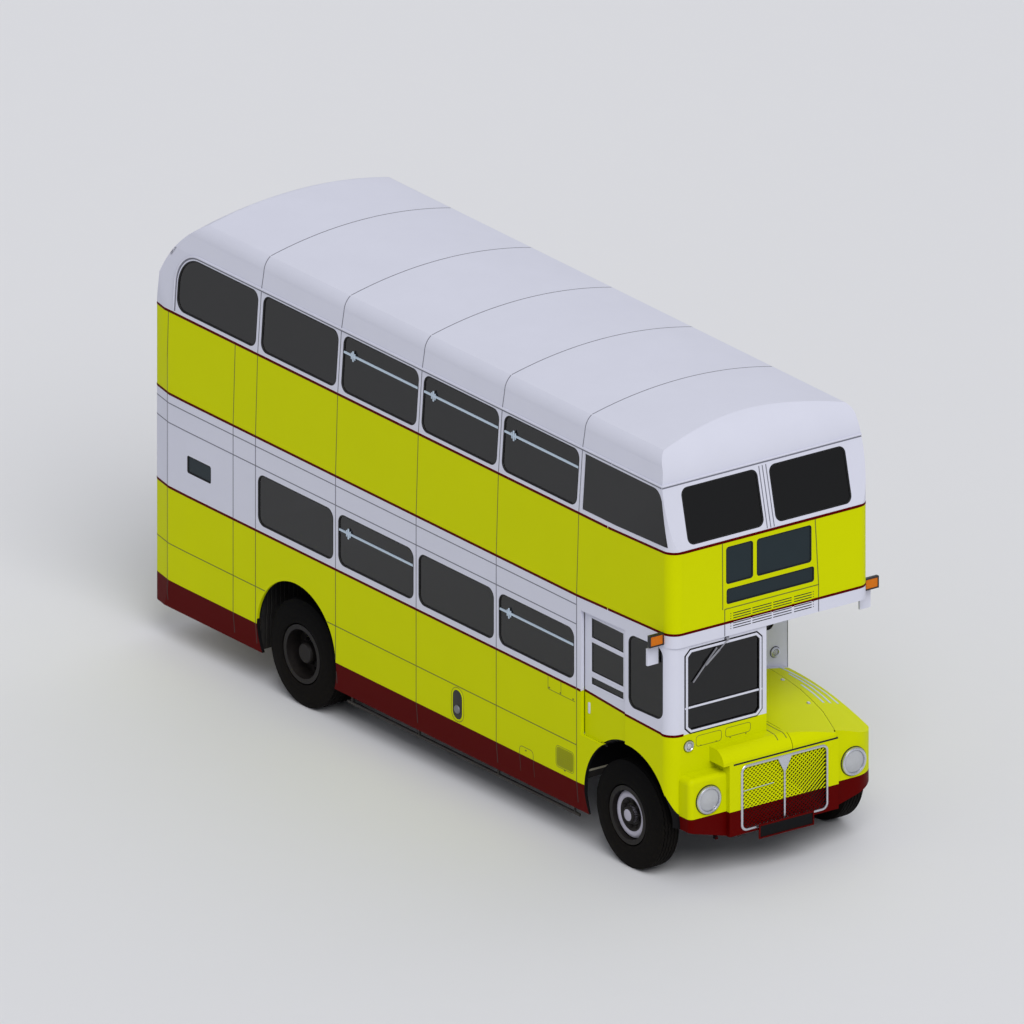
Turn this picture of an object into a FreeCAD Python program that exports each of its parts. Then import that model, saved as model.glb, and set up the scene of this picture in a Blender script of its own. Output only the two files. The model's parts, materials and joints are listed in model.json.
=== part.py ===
# Half-cab double decker bus with an open rear platform.
#
# Axes: +X forward, +Y nearside (left), +Z up. Every size is in millimetres.
# Stations along X are measured from the front axle; save() moves each piece so that the origin
# lies on the ground under the middle of the overall length.
import FreeCAD, Part
import math
import os

Vector = FreeCAD.Vector

# ---------------------------------------------------------------- driving dimensions
WHEELBASE = 5131.0
FRONT_OVERHANG = 880.0        # front axle to the face of the number plate
REAR_OVERHANG = 2369.0        # rear axle to the rear wall
WIDTH = 2440.0
WALL = 38.0                   # body panels with their framing
PANEL = 12.0                  # single skins: canopy, wings, bonnet

# levels above the ground
SKIRT_Z = 347.0
PLATFORM_Z = 360.0
LOWER_FLOOR_Z = 720.0
OVERHANG_Z = 2360.0           # underside of the upper deck's front overhang
LOWER_CEILING_Z = 2490.0
UPPER_FLOOR_Z = 2570.0
UPPER_WAIST_Z = 3310.0
GUTTER_Z = 3950.0
ROOF_Z = 4380.0
FLOOR_THICKNESS = 24.0

# plan of the body
FRONT_FACE_X = 640.0          # upper deck front
CAB_FACE_X = 620.0            # windscreen plane
BULKHEAD_X = -762.0           # front of the lower saloon
PLATFORM_SETBACK = 686.0      # rear axle to the platform bulkhead
BAYS = 4
FRONT_NARROWING = 70.0        # each side, from the bulkhead to the front face
REAR_NARROWING = 70.0         # each side, at the rear wall
FRONT_CORNER_R = 130.0
REAR_CORNER_R = 90.0
CAB_INNER_Y = -40.0           # nearside face of the cab
CROWN_R = 4560.0

# running gear
TYRE_R = 527.0
TYRE_W = 250.0
TYRE_OUTER_Y = 1195.0
TWIN_GAP = 30.0
RIM_R = 255.0
RIM_WALL = 15.0
FLANGE_H = 30.0
FLANGE_T = 10.0
BEAD_SET = 15.0               # bead inside the tyre's widest point, each side
TYRE_SHOULDER = 70.0
TREAD_SET = 28.0
KINGPIN_Y = 920.0
SPINDLE_R = 35.0
HALF_SHAFT_R = 45.0
RUNNING_FIT = 0.05
ARCH_R = 622.0
ARCH_Z = 600.0
FRONT_ARCH_SHIFT = -28.0
REAR_ARCH_SHIFT = -46.0
NEARSIDE_ARCH_R = 600.0       # the nearside front arch is lower, under the wing
NEARSIDE_ARCH_X = -10.0
NEARSIDE_ARCH_Z = 545.0

# fits
CLEAR = 5.0                   # round every moving panel
SEAT_GAP = 0.3                # under a panel that rests on its landing

# glazing
GLASS_SET = 10.0              # pane behind the outer face
GLASS_T = 6.0
LOWER_SILL_Z = 1635.0
LOWER_WINDOW_H = 505.0
UPPER_SILL_Z = 3360.0
UPPER_WINDOW_H = 550.0
PILLAR = 84.0
WINDOW_R = 90.0
RAIL_H = 20.0

# front end
NOSE_HALF = 630.0
NOSE_FACE_X = 845.0
NOSE_BOTTOM_Z = 440.0
NOSE_TOP_Z = 1155.0
WING_FACE_X = 790.0
SCUTTLE_Z = 1335.0            # bonnet top at the bulkhead
HINGE_Y = 100.0
HEADLAMP_R = 140.0
HEADLAMP_Z = 850.0
HEADLAMP_IN = 304.0           # lamp centre inside the body's side at the wing's face

# cab door
DOOR_FRONT_X = -50.0
DOOR_REAR_X = -700.0
DOOR_SILL_Z = 1115.0
DOOR_T = 24.0
DOOR_SET = 48.0               # outer face of the door inside the widest body line
DOOR_TOP_Z = 2352.0
DOOR_TRAVEL = 580.0
CAB_FLOOR_Z = 1105.0

# seats
SEAT_W = 840.0
SEAT_DEPTH = 420.0
SEAT_H = 440.0
SEAT_BACK_H = 900.0
SEAT_DIP = 25.0               # the cushion falls to the back
CUSHION_T = 100.0
SQUAB_T = 70.0
SQUAB_RAKE = 0.12
LEG_INSET = 60.0
LEG_LEAN = 60.0               # the front upright leans in to the top
LEG_TUBE = 25.0
LEG_SIDE = 90.0               # leg frame inside the cushion's end
BENCH_END = 30.0
BENCH_CUSHION_T = 90.0
BENCH_BACK_T = 80.0
BENCH_BACK_H = 480.0
LOWER_PITCH = 700.0
LOWER_ROWS = 5
UPPER_PITCH = 760.0
UPPER_ROWS = 9
UPPER_ROWS_OFFSIDE = 8

DRIVER_Y = -595.0
DRIVER_BACK_X = -620.0
DRIVER_SEAT_W = 450.0
DRIVER_SEAT_H = 440.0
DRIVER_BACK_H = 440.0
DRIVER_RAKE = 60.0
PEDESTAL_INSET = 90.0

# stairs
STAIR_W = 600.0
GOING = 200.0
RISERS = 9

# ---------------------------------------------------------------- derived places
HALF = WIDTH / 2
REAR_AXLE_X = -WHEELBASE
REAR_X = REAR_AXLE_X - REAR_OVERHANG
PLATFORM_X = REAR_AXLE_X - PLATFORM_SETBACK
BAY = (BULKHEAD_X - PLATFORM_X) / BAYS
ORIGIN_X = -(FRONT_OVERHANG + REAR_X) / 2
INNER = HALF - WALL
FAR = 9000.0
SIDES = ((-1, "right"), (1, "left"))


# ---------------------------------------------------------------- shape helpers
def wire_of(points, place):
    """Closed wire through 2-D points; a pair (middle, end) is an arc, place() makes a vector."""
    edges = []
    last = points[0]
    for step in list(points[1:]) + [points[0]]:
        if isinstance(step[0], tuple):
            middle, end = step
            edges.append(Part.Arc(place(*last), place(*middle), place(*end)).toShape())
            last = end
        else:
            if math.dist(last, step) > 1e-6:
                edges.append(Part.makeLine(place(*last), place(*step)))
            last = step
    return Part.Wire(edges)


def prism_xz(points, y0, y1):
    """Side profile (x, z) carried from y0 to y1."""
    face = Part.Face(wire_of(points, lambda a, b: Vector(a, y0, b)))
    return face.extrude(Vector(0, y1 - y0, 0))


def prism_yz(points, x0, x1):
    """Cross-section (y, z) carried from x0 to x1."""
    face = Part.Face(wire_of(points, lambda a, b: Vector(x0, a, b)))
    return face.extrude(Vector(x1 - x0, 0, 0))


def prism_xy(points, z0, z1):
    """Plan (x, y) carried from z0 to z1."""
    face = Part.Face(wire_of(points, lambda a, b: Vector(a, b, z0)))
    return face.extrude(Vector(0, 0, z1 - z0))


def box(x0, x1, y0, y1, z0, z1):
    low = Vector(min(x0, x1), min(y0, y1), min(z0, z1))
    return Part.makeBox(abs(x1 - x0), abs(y1 - y0), abs(z1 - z0), low)


def rod_x(y, z, r, x0, x1):
    return Part.makeCylinder(r, abs(x1 - x0), Vector(min(x0, x1), y, z), Vector(1, 0, 0))


def rod_y(x, z, r, y0, y1):
    return Part.makeCylinder(r, abs(y1 - y0), Vector(x, min(y0, y1), z), Vector(0, 1, 0))


def rod_z(x, y, r, z0, z1):
    return Part.makeCylinder(r, abs(z1 - z0), Vector(x, y, min(z0, z1)), Vector(0, 0, 1))


def rod(start, end, r):
    a, b = Vector(*start), Vector(*end)
    return Part.makeCylinder(r, (b - a).Length, a, b - a)


def rounded(a0, a1, b0, b1, radii):
    """Rectangle with its own radius at each corner: low-low, high-low, high-high, low-high."""
    s = 1 - math.sqrt(0.5)
    ll, hl, hh, lh = radii
    return [(a0 + ll, b0), (a1 - hl, b0), ((a1 - s * hl, b0 + s * hl), (a1, b0 + hl)),
            (a1, b1 - hh), ((a1 - s * hh, b1 - s * hh), (a1 - hh, b1)),
            (a0 + lh, b1), ((a0 + s * lh, b1 - s * lh), (a0, b1 - lh)),
            (a0, b0 + ll), ((a0 + s * ll, b0 + s * ll), (a0 + ll, b0))]


def spin_y(profile, x, z):
    """Profile of (y, radius) turned about the wheel axis at x, z."""
    face = Part.Face(wire_of(profile, lambda a, b: Vector(x, a, z + b)))
    return face.revolve(Vector(x, 0, z), Vector(0, 1, 0), 360)


def mirror_y(shape):
    return shape.mirror(Vector(0, 0, 0), Vector(0, 1, 0))


def on_side(side, shape):
    """A shape drawn for the nearside, put on the side asked for."""
    return shape if side > 0 else mirror_y(shape)


def join(shapes):
    first, rest = shapes[0], list(shapes[1:])
    return first.multiFuse(rest).removeSplitter() if rest else first


def group(shapes):
    """Like pieces of one node that don't touch."""
    solids = []
    for shape in shapes:
        solids.extend(shape.Solids)
    return Part.makeCompound(solids)


def save(name, shape):
    moved = shape.copy()
    moved.translate(Vector(ORIGIN_X, 0, 0))
    solids = moved.Solids
    result = solids[0] if len(solids) == 1 else Part.makeCompound(solids)
    result.exportStep(os.path.join("parts", name + ".step"))


def uprights(solid, x, y=None):
    """Vertical edges of a solid at station x, and at y where it is given."""
    found = []
    for edge in solid.Edges:
        a, b = edge.Vertexes[0].Point, edge.Vertexes[-1].Point
        on_line = abs(a.x - x) < 1e-6 and abs(b.x - x) < 1e-6 and abs(a.y - b.y) < 1e-6
        if on_line and (y is None or abs(a.y - y) < 1e-6) and abs(a.z - b.z) > 1:
            found.append(edge)
    return found


# ---------------------------------------------------------------- the body's form
def side_y(x):
    """Half width of the body at a station ahead of the bulkhead."""
    return HALF - FRONT_NARROWING * (x - BULKHEAD_X) / (FRONT_FACE_X - BULKHEAD_X)


def section(d):
    """Cross-section of both decks, d inside the outer face."""
    half = HALF - d
    top = ROOF_Z - d
    low = SKIRT_Z if d == 0 else SKIRT_Z - 100
    spring = half - 175
    spring_z = top - spring ** 2 / (2 * CROWN_R)
    points = [(-half + 25, low), (half - 25, low), (half, SKIRT_Z + 290), (half, 2500),
              (half - 25, UPPER_WAIST_Z), (half - 70, GUTTER_Z), (half - 98, GUTTER_Z + 170),
              ((half - 122, spring_z - 57), (spring, spring_z)),
              ((0, top), (-spring, spring_z)),
              ((-half + 122, spring_z - 57), (-half + 98, GUTTER_Z + 170)),
              (-half + 70, GUTTER_Z), (-half + 25, UPPER_WAIST_Z), (-half, 2500), (-half, SKIRT_Z + 290)]
    return prism_yz(points, -FAR, FAR)


def side_profile(d):
    """Side outline with the leaning rear, the domes and the overhang over the bonnet."""
    rear, front, top = REAR_X + d, FRONT_FACE_X - d, ROOF_Z - d + 20
    low = SKIRT_Z if d == 0 else SKIRT_Z - 100
    overhang = OVERHANG_Z if d == 0 else OVERHANG_Z + PANEL
    bulkhead = BULKHEAD_X
    points = [(rear, low), (bulkhead, low), (bulkhead, overhang), (front, overhang),
              (front, UPPER_WAIST_Z), (front - 152, GUTTER_Z),
              ((front - 240, top - 175), (front - 480, top)), (rear + 740, top),
              ((rear + 320, top - 290), (rear + 135, 3800)), (rear + 40, UPPER_WAIST_Z), (rear, 2500)]
    return prism_xz(points, -FAR, FAR)


def plan(d):
    """Plan with rounded corners and the narrowing to the front and rear."""
    rear, front = REAR_X + d, FRONT_FACE_X - d
    half = HALF - d
    back, nose = half - REAR_NARROWING, half - FRONT_NARROWING
    points = [(rear, -back), (rear + 310, -half + 5), (rear + 600, -half), (BULKHEAD_X, -half),
              (front, -nose), (front, nose), (BULKHEAD_X, half), (rear + 600, half),
              (rear + 310, half - 5), (rear, back)]
    solid = prism_xy(points, 0, ROOF_Z + 200)
    solid = solid.makeFillet(FRONT_CORNER_R - d, uprights(solid, front))
    return solid.makeFillet(REAR_CORNER_R - d, uprights(solid, rear))


def body(d):
    """The solid inside the body's outer face moved in by d."""
    return section(d).common(side_profile(d)).common(plan(d))


OUTER = body(0)
WALLS = OUTER.cut(body(WALL))
GLASS_LAYER = body(GLASS_SET).cut(body(GLASS_SET + GLASS_T))
RAIL_LAYER = OUTER.cut(body(GLASS_SET))

stations = [BULKHEAD_X - i * BAY for i in range(BAYS + 1)]


# ---------------------------------------------------------------- window openings
def side_windows(sill, height, with_quarters):
    """Nearside prisms of one deck's windows, and those with an opening top light."""
    plain, railed = [], []
    for i in range(BAYS):
        shape = prism_xz(rounded(stations[i + 1] + PILLAR / 2, stations[i] - PILLAR / 2,
                                 sill, sill + height, [WINDOW_R] * 4), HALF - 250, HALF + 50)
        has_rail = i in ((0, 1, 2) if with_quarters else (0, 2))
        (railed if has_rail else plain).append(shape)
    if with_quarters:
        top = sill + height
        plain.append(prism_xz(rounded(REAR_X + 400, PLATFORM_X - PILLAR / 2, sill, top,
                                      [120, WINDOW_R, WINDOW_R, 300]), HALF - 250, HALF + 50))
        front = [(BULKHEAD_X + PILLAR / 2, sill), (FRONT_FACE_X - 70, sill), (FRONT_FACE_X - 140, top - 130),
                 ((FRONT_FACE_X - 185, top - 35), (FRONT_FACE_X - 280, top)), (BULKHEAD_X + PILLAR / 2, top)]
        plain.append(prism_xz(front, HALF - 250, HALF + 50))
    return plain, railed


lower_plain, lower_railed = side_windows(LOWER_SILL_Z, LOWER_WINDOW_H, False)
upper_plain, upper_railed = side_windows(UPPER_SILL_Z, UPPER_WINDOW_H, True)
lower_holes = [on_side(s, w) for s, _ in SIDES for w in lower_plain + lower_railed]
upper_holes = [on_side(s, w) for s, _ in SIDES for w in upper_plain + upper_railed]

FRONT_WINDOW_IN = 70.0
FRONT_WINDOW_OUT = side_y(FRONT_FACE_X) - 205
front_holes = [on_side(s, prism_yz(rounded(FRONT_WINDOW_IN, FRONT_WINDOW_OUT, UPPER_SILL_Z, 3890, [70] * 4),
                                   FRONT_FACE_X - 350, FRONT_FACE_X + 50)) for s, _ in SIDES]

# destination displays: y0, y1, z0, z1, corner radius
DISPLAYS = ((-520, -210, 2880, 3250, 30), (-165, 465, 2880, 3250, 30), (-515, 495, 2680, 2830, 25))
display_holes = [prism_yz(rounded(y0, y1, z0, z1, [r] * 4), FRONT_FACE_X - 100, FRONT_FACE_X + 50)
                 for y0, y1, z0, z1, r in DISPLAYS]
side_display = prism_xz(rounded(PLATFORM_X - 1073, PLATFORM_X - 703, 1800, 1970, [20] * 4), -HALF - 50, -HALF + 100)

# emergency window in the upper rear wall
EXIT_HALF = 550.0
EXIT_SILL = 3335.0
EXIT_TOP = 3790.0
exit_hole = box(REAR_X - 50, REAR_X + 250, -EXIT_HALF, EXIT_HALF, EXIT_SILL, EXIT_TOP)
exit_body = box(REAR_X - 50, REAR_X + 250, -EXIT_HALF + CLEAR, EXIT_HALF - CLEAR, EXIT_SILL + SEAT_GAP, EXIT_TOP - CLEAR)
exit_panes = [prism_yz(rounded(y0, y1, EXIT_SILL + 45, EXIT_TOP - 50, [60] * 4), REAR_X - 50, REAR_X + 250)
              for y0, y1 in ((-EXIT_HALF + 50, -30), (30, EXIT_HALF - 50))]
rear_quarters = [on_side(s, prism_yz(rounded(EXIT_HALF + 60, HALF - 190, UPPER_SILL_Z + 10, EXIT_TOP - 20, [60] * 4),
                                     REAR_X - 50, REAR_X + 250)) for s, _ in SIDES]
rear_lamps = [rod_x(y, 900, 45, REAR_X, REAR_X + 30) for y in (-1050, -700)]
rear_lower_pane = prism_yz(rounded(-560, 250, LOWER_SILL_Z, LOWER_SILL_Z + LOWER_WINDOW_H, [WINDOW_R] * 4),
                           REAR_X - 50, REAR_X + 100)


# ---------------------------------------------------------------- wheel arches
def arch(x, r, y0, y1):
    return rod_y(x, ARCH_Z, r, y0, y1)


FRONT_ARCH_X = FRONT_ARCH_SHIFT
REAR_ARCH_X = REAR_AXLE_X + REAR_ARCH_SHIFT
rear_arches = [arch(REAR_ARCH_X, ARCH_R, s * (INNER - 50), s * (HALF + 50)) for s, _ in SIDES]

# ---------------------------------------------------------------- body panels
ENTRANCE_Y = 450.0
ENTRANCE_TOP = 2200.0
entrance = box(REAR_X - 50, PLATFORM_X, ENTRANCE_Y, HALF + 50, 0, ENTRANCE_TOP)
UPPER_REAR_X = REAR_X + 310.0
UPPER_FRONT_X = FRONT_FACE_X - 210.0


def panel(x0, x1, y0, y1, z0, z1, holes):
    """One panel of the walls with its openings cut out."""
    shape = WALLS.common(box(x0, x1, y0, y1, z0, z1))
    return shape.cut(holes) if holes else shape


def lower_side(side):
    return panel(PLATFORM_X, BULKHEAD_X, 0, side * FAR, 0, OVERHANG_Z, lower_holes + rear_arches)


def lower_rear_corner():
    """Staircase panel, rear wall and the header over the entrance."""
    return panel(-FAR, PLATFORM_X, -FAR, FAR, 0, OVERHANG_Z, [entrance, side_display, rear_lower_pane] + rear_lamps)


def upper_side(side):
    return panel(UPPER_REAR_X, UPPER_FRONT_X, 0, side * FAR, OVERHANG_Z, GUTTER_Z, upper_holes)


def upper_front():
    return panel(UPPER_FRONT_X, FAR, -FAR, FAR, OVERHANG_Z, GUTTER_Z, upper_holes + front_holes + display_holes)


def upper_rear():
    return panel(-FAR, UPPER_REAR_X, -FAR, FAR, OVERHANG_Z, GUTTER_Z, upper_holes + [exit_hole] + rear_quarters)


def roof(x0, x1):
    return WALLS.common(box(x0, x1, -FAR, FAR, GUTTER_Z, FAR))


# ---------------------------------------------------------------- floors and bulkheads
WELL_HALF = 640.0             # rear wheel box, half length
WELL_INNER_Y = 630.0
WELL_TOP = 1235.0
BOX_T = 15.0
WELL_REAR_X = max(REAR_ARCH_X - WELL_HALF, PLATFORM_X + BOX_T)
WELL_FRONT_X = REAR_ARCH_X + WELL_HALF
inside = body(WALL)


def lower_deck_floor():
    """Saloon floor with the boxes over the rear wheels."""
    floor = inside.common(box(PLATFORM_X, BULKHEAD_X, -FAR, FAR, LOWER_FLOOR_Z - FLOOR_THICKNESS, LOWER_FLOOR_Z))
    x0, x1 = WELL_REAR_X, WELL_FRONT_X
    pieces = []
    wells = []
    for s, _ in SIDES:
        outer = box(x0 - BOX_T, x1 + BOX_T, s * (WELL_INNER_Y - BOX_T), s * INNER,
                    LOWER_FLOOR_Z - FLOOR_THICKNESS, WELL_TOP + BOX_T)
        pieces.append(outer)
        wells.append(box(x0, x1, s * WELL_INNER_Y, s * (INNER + 1), 0, WELL_TOP))
    return join([floor] + pieces).cut(wells)


def rear_platform(corner):
    """Boarding platform with the riser up to the saloon floor."""
    slab = OUTER.common(box(-FAR, PLATFORM_X, -FAR, FAR, SKIRT_Z, PLATFORM_Z))
    riser = box(PLATFORM_X - PANEL, PLATFORM_X, -INNER + 30, INNER - 30, PLATFORM_Z, LOWER_FLOOR_Z)
    return join([slab.cut(corner), riser])


STAIR_FRONT_X = REAR_X + 60 + STAIR_W + (RISERS - 4) * GOING
STAIR_IN_Y = -INNER + STAIR_W


def upper_deck_floor():
    slab = inside.common(box(-FAR, FAR, -FAR, FAR, LOWER_CEILING_Z, UPPER_FLOOR_Z))
    return slab.cut(box(REAR_X + 250, STAIR_FRONT_X, -HALF, STAIR_IN_Y, 0, FAR))


DOOR_OUT_Y = HALF - DOOR_SET
DOOR_IN_Y = DOOR_OUT_Y - DOOR_T
TRACK_Z = DOOR_SILL_Z - 10
BULKHEAD_PANES = ((-INNER + 102, -130), (40, INNER - 122))


def front_bulkhead():
    """Wall between the saloon and the cab, slotted for the sliding cab door."""
    wall = box(BULKHEAD_X - WALL, BULKHEAD_X, -INNER, INNER, LOWER_FLOOR_Z, LOWER_CEILING_Z).common(inside)
    slot = box(BULKHEAD_X - WALL, BULKHEAD_X, -HALF, -DOOR_IN_Y + CLEAR, TRACK_Z, OVERHANG_Z)
    panes = [prism_yz(rounded(y0, y1, LOWER_SILL_Z, LOWER_SILL_Z + LOWER_WINDOW_H, [60] * 4),
                      BULKHEAD_X - 100, BULKHEAD_X + 50) for y0, y1 in BULKHEAD_PANES]
    return join([wall.cut(panes + [slot]), bonnet_landing()])


def rear_bulkhead():
    """Partitions each side of the way from the platform to the saloon."""
    wall = box(PLATFORM_X, PLATFORM_X + WALL, -INNER, INNER, LOWER_FLOOR_Z, LOWER_CEILING_Z).common(inside)
    way = box(PLATFORM_X, PLATFORM_X + WALL, -AISLE_HALF, AISLE_HALF, LOWER_FLOOR_Z, LOWER_CEILING_Z - 250)
    boxes = box(PLATFORM_X, PLATFORM_X + WALL, -FAR, -WELL_INNER_Y + BOX_T, LOWER_FLOOR_Z, WELL_TOP + BOX_T)
    boxes2 = mirror_y(boxes)
    panes = [on_side(s, prism_yz(rounded(AISLE_HALF + 90, INNER - 90, LOWER_SILL_Z, LOWER_SILL_Z + LOWER_WINDOW_H,
                                         [60] * 4), PLATFORM_X - 50, PLATFORM_X + 100)) for s, _ in SIDES]
    return wall.cut([way, boxes, boxes2] + panes)


# ---------------------------------------------------------------- cab
AISLE_HALF = 300.0
COLUMN_TOP = (130.0, DRIVER_Y, 1690.0)
COLUMN_RUN = 317.0            # how far the column's foot stands ahead of its top
CAB_WELL_Y = 900.0            # inner end of the box over the front wheel
LOWER_WELL_Y = 500.0          # inner end of the space the steered wheel sweeps
WINDSCREEN = (-985.0, -90.0, 1475.0, 2320.0)
CAB_WINDOW = (5.0, 505.0, 1620.0, 2340.0)


def cab_plan(d):
    """Cab outline, d inside its faces."""
    x0 = BULKHEAD_X if d == 0 else BULKHEAD_X - 10
    points = [(x0, -HALF + d), (BULKHEAD_X, -HALF + d), (CAB_FACE_X - d, -side_y(CAB_FACE_X) + d),
              (CAB_FACE_X - d, CAB_INNER_Y - d), (x0, CAB_INNER_Y - d)]
    solid = prism_xy(points, SKIRT_Z - 100, OVERHANG_Z)
    return solid.makeFillet(FRONT_CORNER_R - d, uprights(solid, CAB_FACE_X - d, -side_y(CAB_FACE_X) + d))


front_arch = arch(FRONT_ARCH_X, ARCH_R, -HALF - 50, -CAB_WELL_Y)
wheel_sweep = arch(FRONT_ARCH_X, ARCH_R, -CAB_WELL_Y, -LOWER_WELL_Y)
wheel_sweep = wheel_sweep.common(box(-FAR, FAR, -FAR, FAR, 0, CAB_FLOOR_Z - FLOOR_THICKNESS))
front_sill = prism_yz([(-HALF - 50, 0), (-HALF - 50, 600), (-HALF + 60, 580), (-NOSE_HALF, NOSE_BOTTOM_Z),
                       (-NOSE_HALF, 0)], 250, 900)
door_hole = box(DOOR_REAR_X, DOOR_FRONT_X, -HALF - 50, -HALF + 150, DOOR_SILL_Z, OVERHANG_Z + 1)
y0, y1, z0, z1 = WINDSCREEN
windscreen = prism_yz([(y0 + 60, z0), (y1 - 60, z0), (y1, z0 + 60), (y1, z1 - 60), (y1 - 60, z1), (y0 + 60, z1),
                       (y0, z1 - 60), (y0, z0 + 60)], CAB_FACE_X - 100, CAB_FACE_X + 50)
x0, x1, z0, z1 = CAB_WINDOW
cab_window = prism_xz(rounded(x0, x1, z0, z1, [90] * 4), -HALF - 50, -HALF + 200)


def cab_shell():
    """Driver's side, front and nearside walls."""
    walls = cab_plan(0).cut(cab_plan(WALL)).common(section(0))
    engine_side = box(BULKHEAD_X - 50, 900, -NOSE_HALF + 30, 0, 0, CAB_FLOOR_Z)
    return walls.cut([front_arch, wheel_sweep, front_sill, door_hole, windscreen, cab_window, engine_side])


def cab_floor():
    """Floor with the box over the offside front wheel."""
    low = CAB_FLOOR_Z - FLOOR_THICKNESS
    plate = cab_plan(WALL).common(box(BULKHEAD_X, FAR, -FAR, CAB_INNER_Y - WALL, low, CAB_FLOOR_Z))
    edge = box(BULKHEAD_X, CAB_FACE_X - WALL, CAB_INNER_Y - WALL, CAB_INNER_Y, low, CAB_FLOOR_Z)
    liner = arch(FRONT_ARCH_X, ARCH_R + BOX_T, -INNER, -CAB_WELL_Y + BOX_T)
    liner = liner.common(box(-FAR, FAR, -FAR, FAR, low, FAR)).common(cab_plan(WALL))
    column = rod((COLUMN_TOP[0] + COLUMN_RUN, COLUMN_TOP[1], low), COLUMN_TOP, 22).cut(box(-FAR, FAR, -FAR, 0, 0, low))
    return join([plate, edge, liner, column]).cut(front_arch)


def cab_door():
    """Sliding door with its three lights."""
    leaf = box(DOOR_REAR_X + CLEAR, DOOR_FRONT_X - CLEAR, -DOOR_OUT_Y, -DOOR_IN_Y,
               DOOR_SILL_Z + CLEAR, DOOR_TOP_Z)
    return leaf.cut(door_lights + [arch(FRONT_ARCH_X, ARCH_R + BOX_T + CLEAR, -HALF, -CAB_WELL_Y)])


DOOR_LIGHTS = ((1650, 1720), (1776, 2070), (2115, 2310))
door_lights = [box(DOOR_REAR_X + 110, DOOR_FRONT_X - 40, -HALF, -HALF + 200, z0, z1) for z0, z1 in DOOR_LIGHTS]


def cab_door_glass():
    middle = -(DOOR_OUT_Y + DOOR_IN_Y) / 2
    layer = box(-FAR, FAR, middle - GLASS_T / 2, middle + GLASS_T / 2, 0, FAR)
    return group([light.common(layer) for light in door_lights])


def door_track(neighbours):
    """Bottom runner that the cab door slides on."""
    bar = box(DOOR_REAR_X - DOOR_TRAVEL - 20, DOOR_FRONT_X - 380, -INNER, -DOOR_IN_Y,
              TRACK_Z, DOOR_SILL_Z + CLEAR - SEAT_GAP)
    return bar.cut(neighbours)


# ---------------------------------------------------------------- bonnet, wings and radiator cowl
# station, height at the hinge, height at the shoulder, height at the wing edge
FRONT_END = ((BULKHEAD_X, SCUTTLE_Z, SCUTTLE_Z - 13, 1240), (200, 1316, 1290, 1185),
             (NOSE_FACE_X + 15, 1285, 1190, 1030))
WING_EDGE_R = 60.0
COWL_BACK_Z = 1298.0          # top of the cowl where it meets the windscreen panel
COWL_LIP_Z = 1185.0           # front edge of the rounded cowl and bonnet


def front_roll(d, y0, y1):
    """Rounded front shared by the bonnet and the fixed cowl, d inside its skin."""
    return prism_xz([(BULKHEAD_X - 20, 200), (NOSE_FACE_X - d, 200), (NOSE_FACE_X - d, COWL_LIP_Z - d),
                     ((NOSE_FACE_X - 45 - 0.8 * d, 1262 - 0.8 * d), (CAB_FACE_X + 40, COWL_BACK_Z - d)),
                     (CAB_FACE_X - 100, 1500), (BULKHEAD_X - 20, 1500)], y0, y1)


def front_end(d):
    """Nearside bonnet and wing as one form, d inside its skin."""
    sections = []
    inner_y = HINGE_Y if d == 0 else HINGE_Y - 100
    for x, hinge_z, shoulder_z, edge_z in FRONT_END:
        if d and x == BULKHEAD_X:
            x = x - 5
        edge_y = side_y(x) - d
        s = WING_EDGE_R * (1 - math.sqrt(0.5))
        points = [(inner_y, 300 - d), (inner_y, hinge_z - d), ((NOSE_HALF, shoulder_z - d),
                  (edge_y - WING_EDGE_R, edge_z - d)),
                  ((edge_y - s, edge_z - d - s), (edge_y, edge_z - d - WING_EDGE_R)), (edge_y, 300 - d)]
        sections.append(wire_of(points, lambda a, b, x=x: Vector(x, a, b)))
    form = Part.makeLoft(sections, True).common(front_roll(d, inner_y - 1, HALF + 50))
    edge = side_y(WING_FACE_X) - d
    points = [(BULKHEAD_X - 10, inner_y - 1), (BULKHEAD_X - 10, HALF + 50), (WING_FACE_X - d, edge),
              (WING_FACE_X - d, NOSE_HALF), (NOSE_FACE_X - d, NOSE_HALF), (NOSE_FACE_X - d, inner_y - 1)]
    outline = prism_xy(points, 250, 1500)
    outline = outline.makeFillet(300 - d, uprights(outline, WING_FACE_X - d, edge))
    return form.common(outline)


nearside_sill = mirror_y(front_sill)


def bonnet_plan(gap):
    """Plan of the opening bonnet, grown by gap on its free edges."""
    return prism_xy([(BULKHEAD_X + CLEAR - gap, HINGE_Y - 1), (BULKHEAD_X + CLEAR - gap, 965 + gap),
                     (-90, 875 + gap), (400, 770 + gap), (WING_FACE_X - PANEL - 2, NOSE_HALF + gap),
                     (WING_FACE_X - PANEL - 2, NOSE_HALF - 25 + gap), (NOSE_FACE_X + 5, 600 + gap),
                     (NOSE_FACE_X + 5, HINGE_Y - 1)], 900, 1500)


FRONT_SKIN = front_end(0).cut(front_end(PANEL))
nose_block = box(CAB_FACE_X, 900, -NOSE_HALF, NOSE_HALF, 0, NOSE_TOP_Z + SEAT_GAP)


def bonnet():
    shape = FRONT_SKIN.common(bonnet_plan(0)).cut(nose_block)
    return max(shape.Solids, key=lambda s: s.Volume)


def nearside_wing():
    low = box(-FAR, FAR, -FAR, FAR, 0, SKIRT_Z)
    hole = rod_y(NEARSIDE_ARCH_X, NEARSIDE_ARCH_Z, NEARSIDE_ARCH_R, CAB_WELL_Y, HALF + 50)
    inner_edge = box(CAB_FACE_X, 900, 0, NOSE_HALF, 0, 1500)
    shape = FRONT_SKIN.cut([bonnet_plan(CLEAR), low, hole, nearside_sill, inner_edge])
    return max(shape.Solids, key=lambda s: s.Volume)


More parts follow.
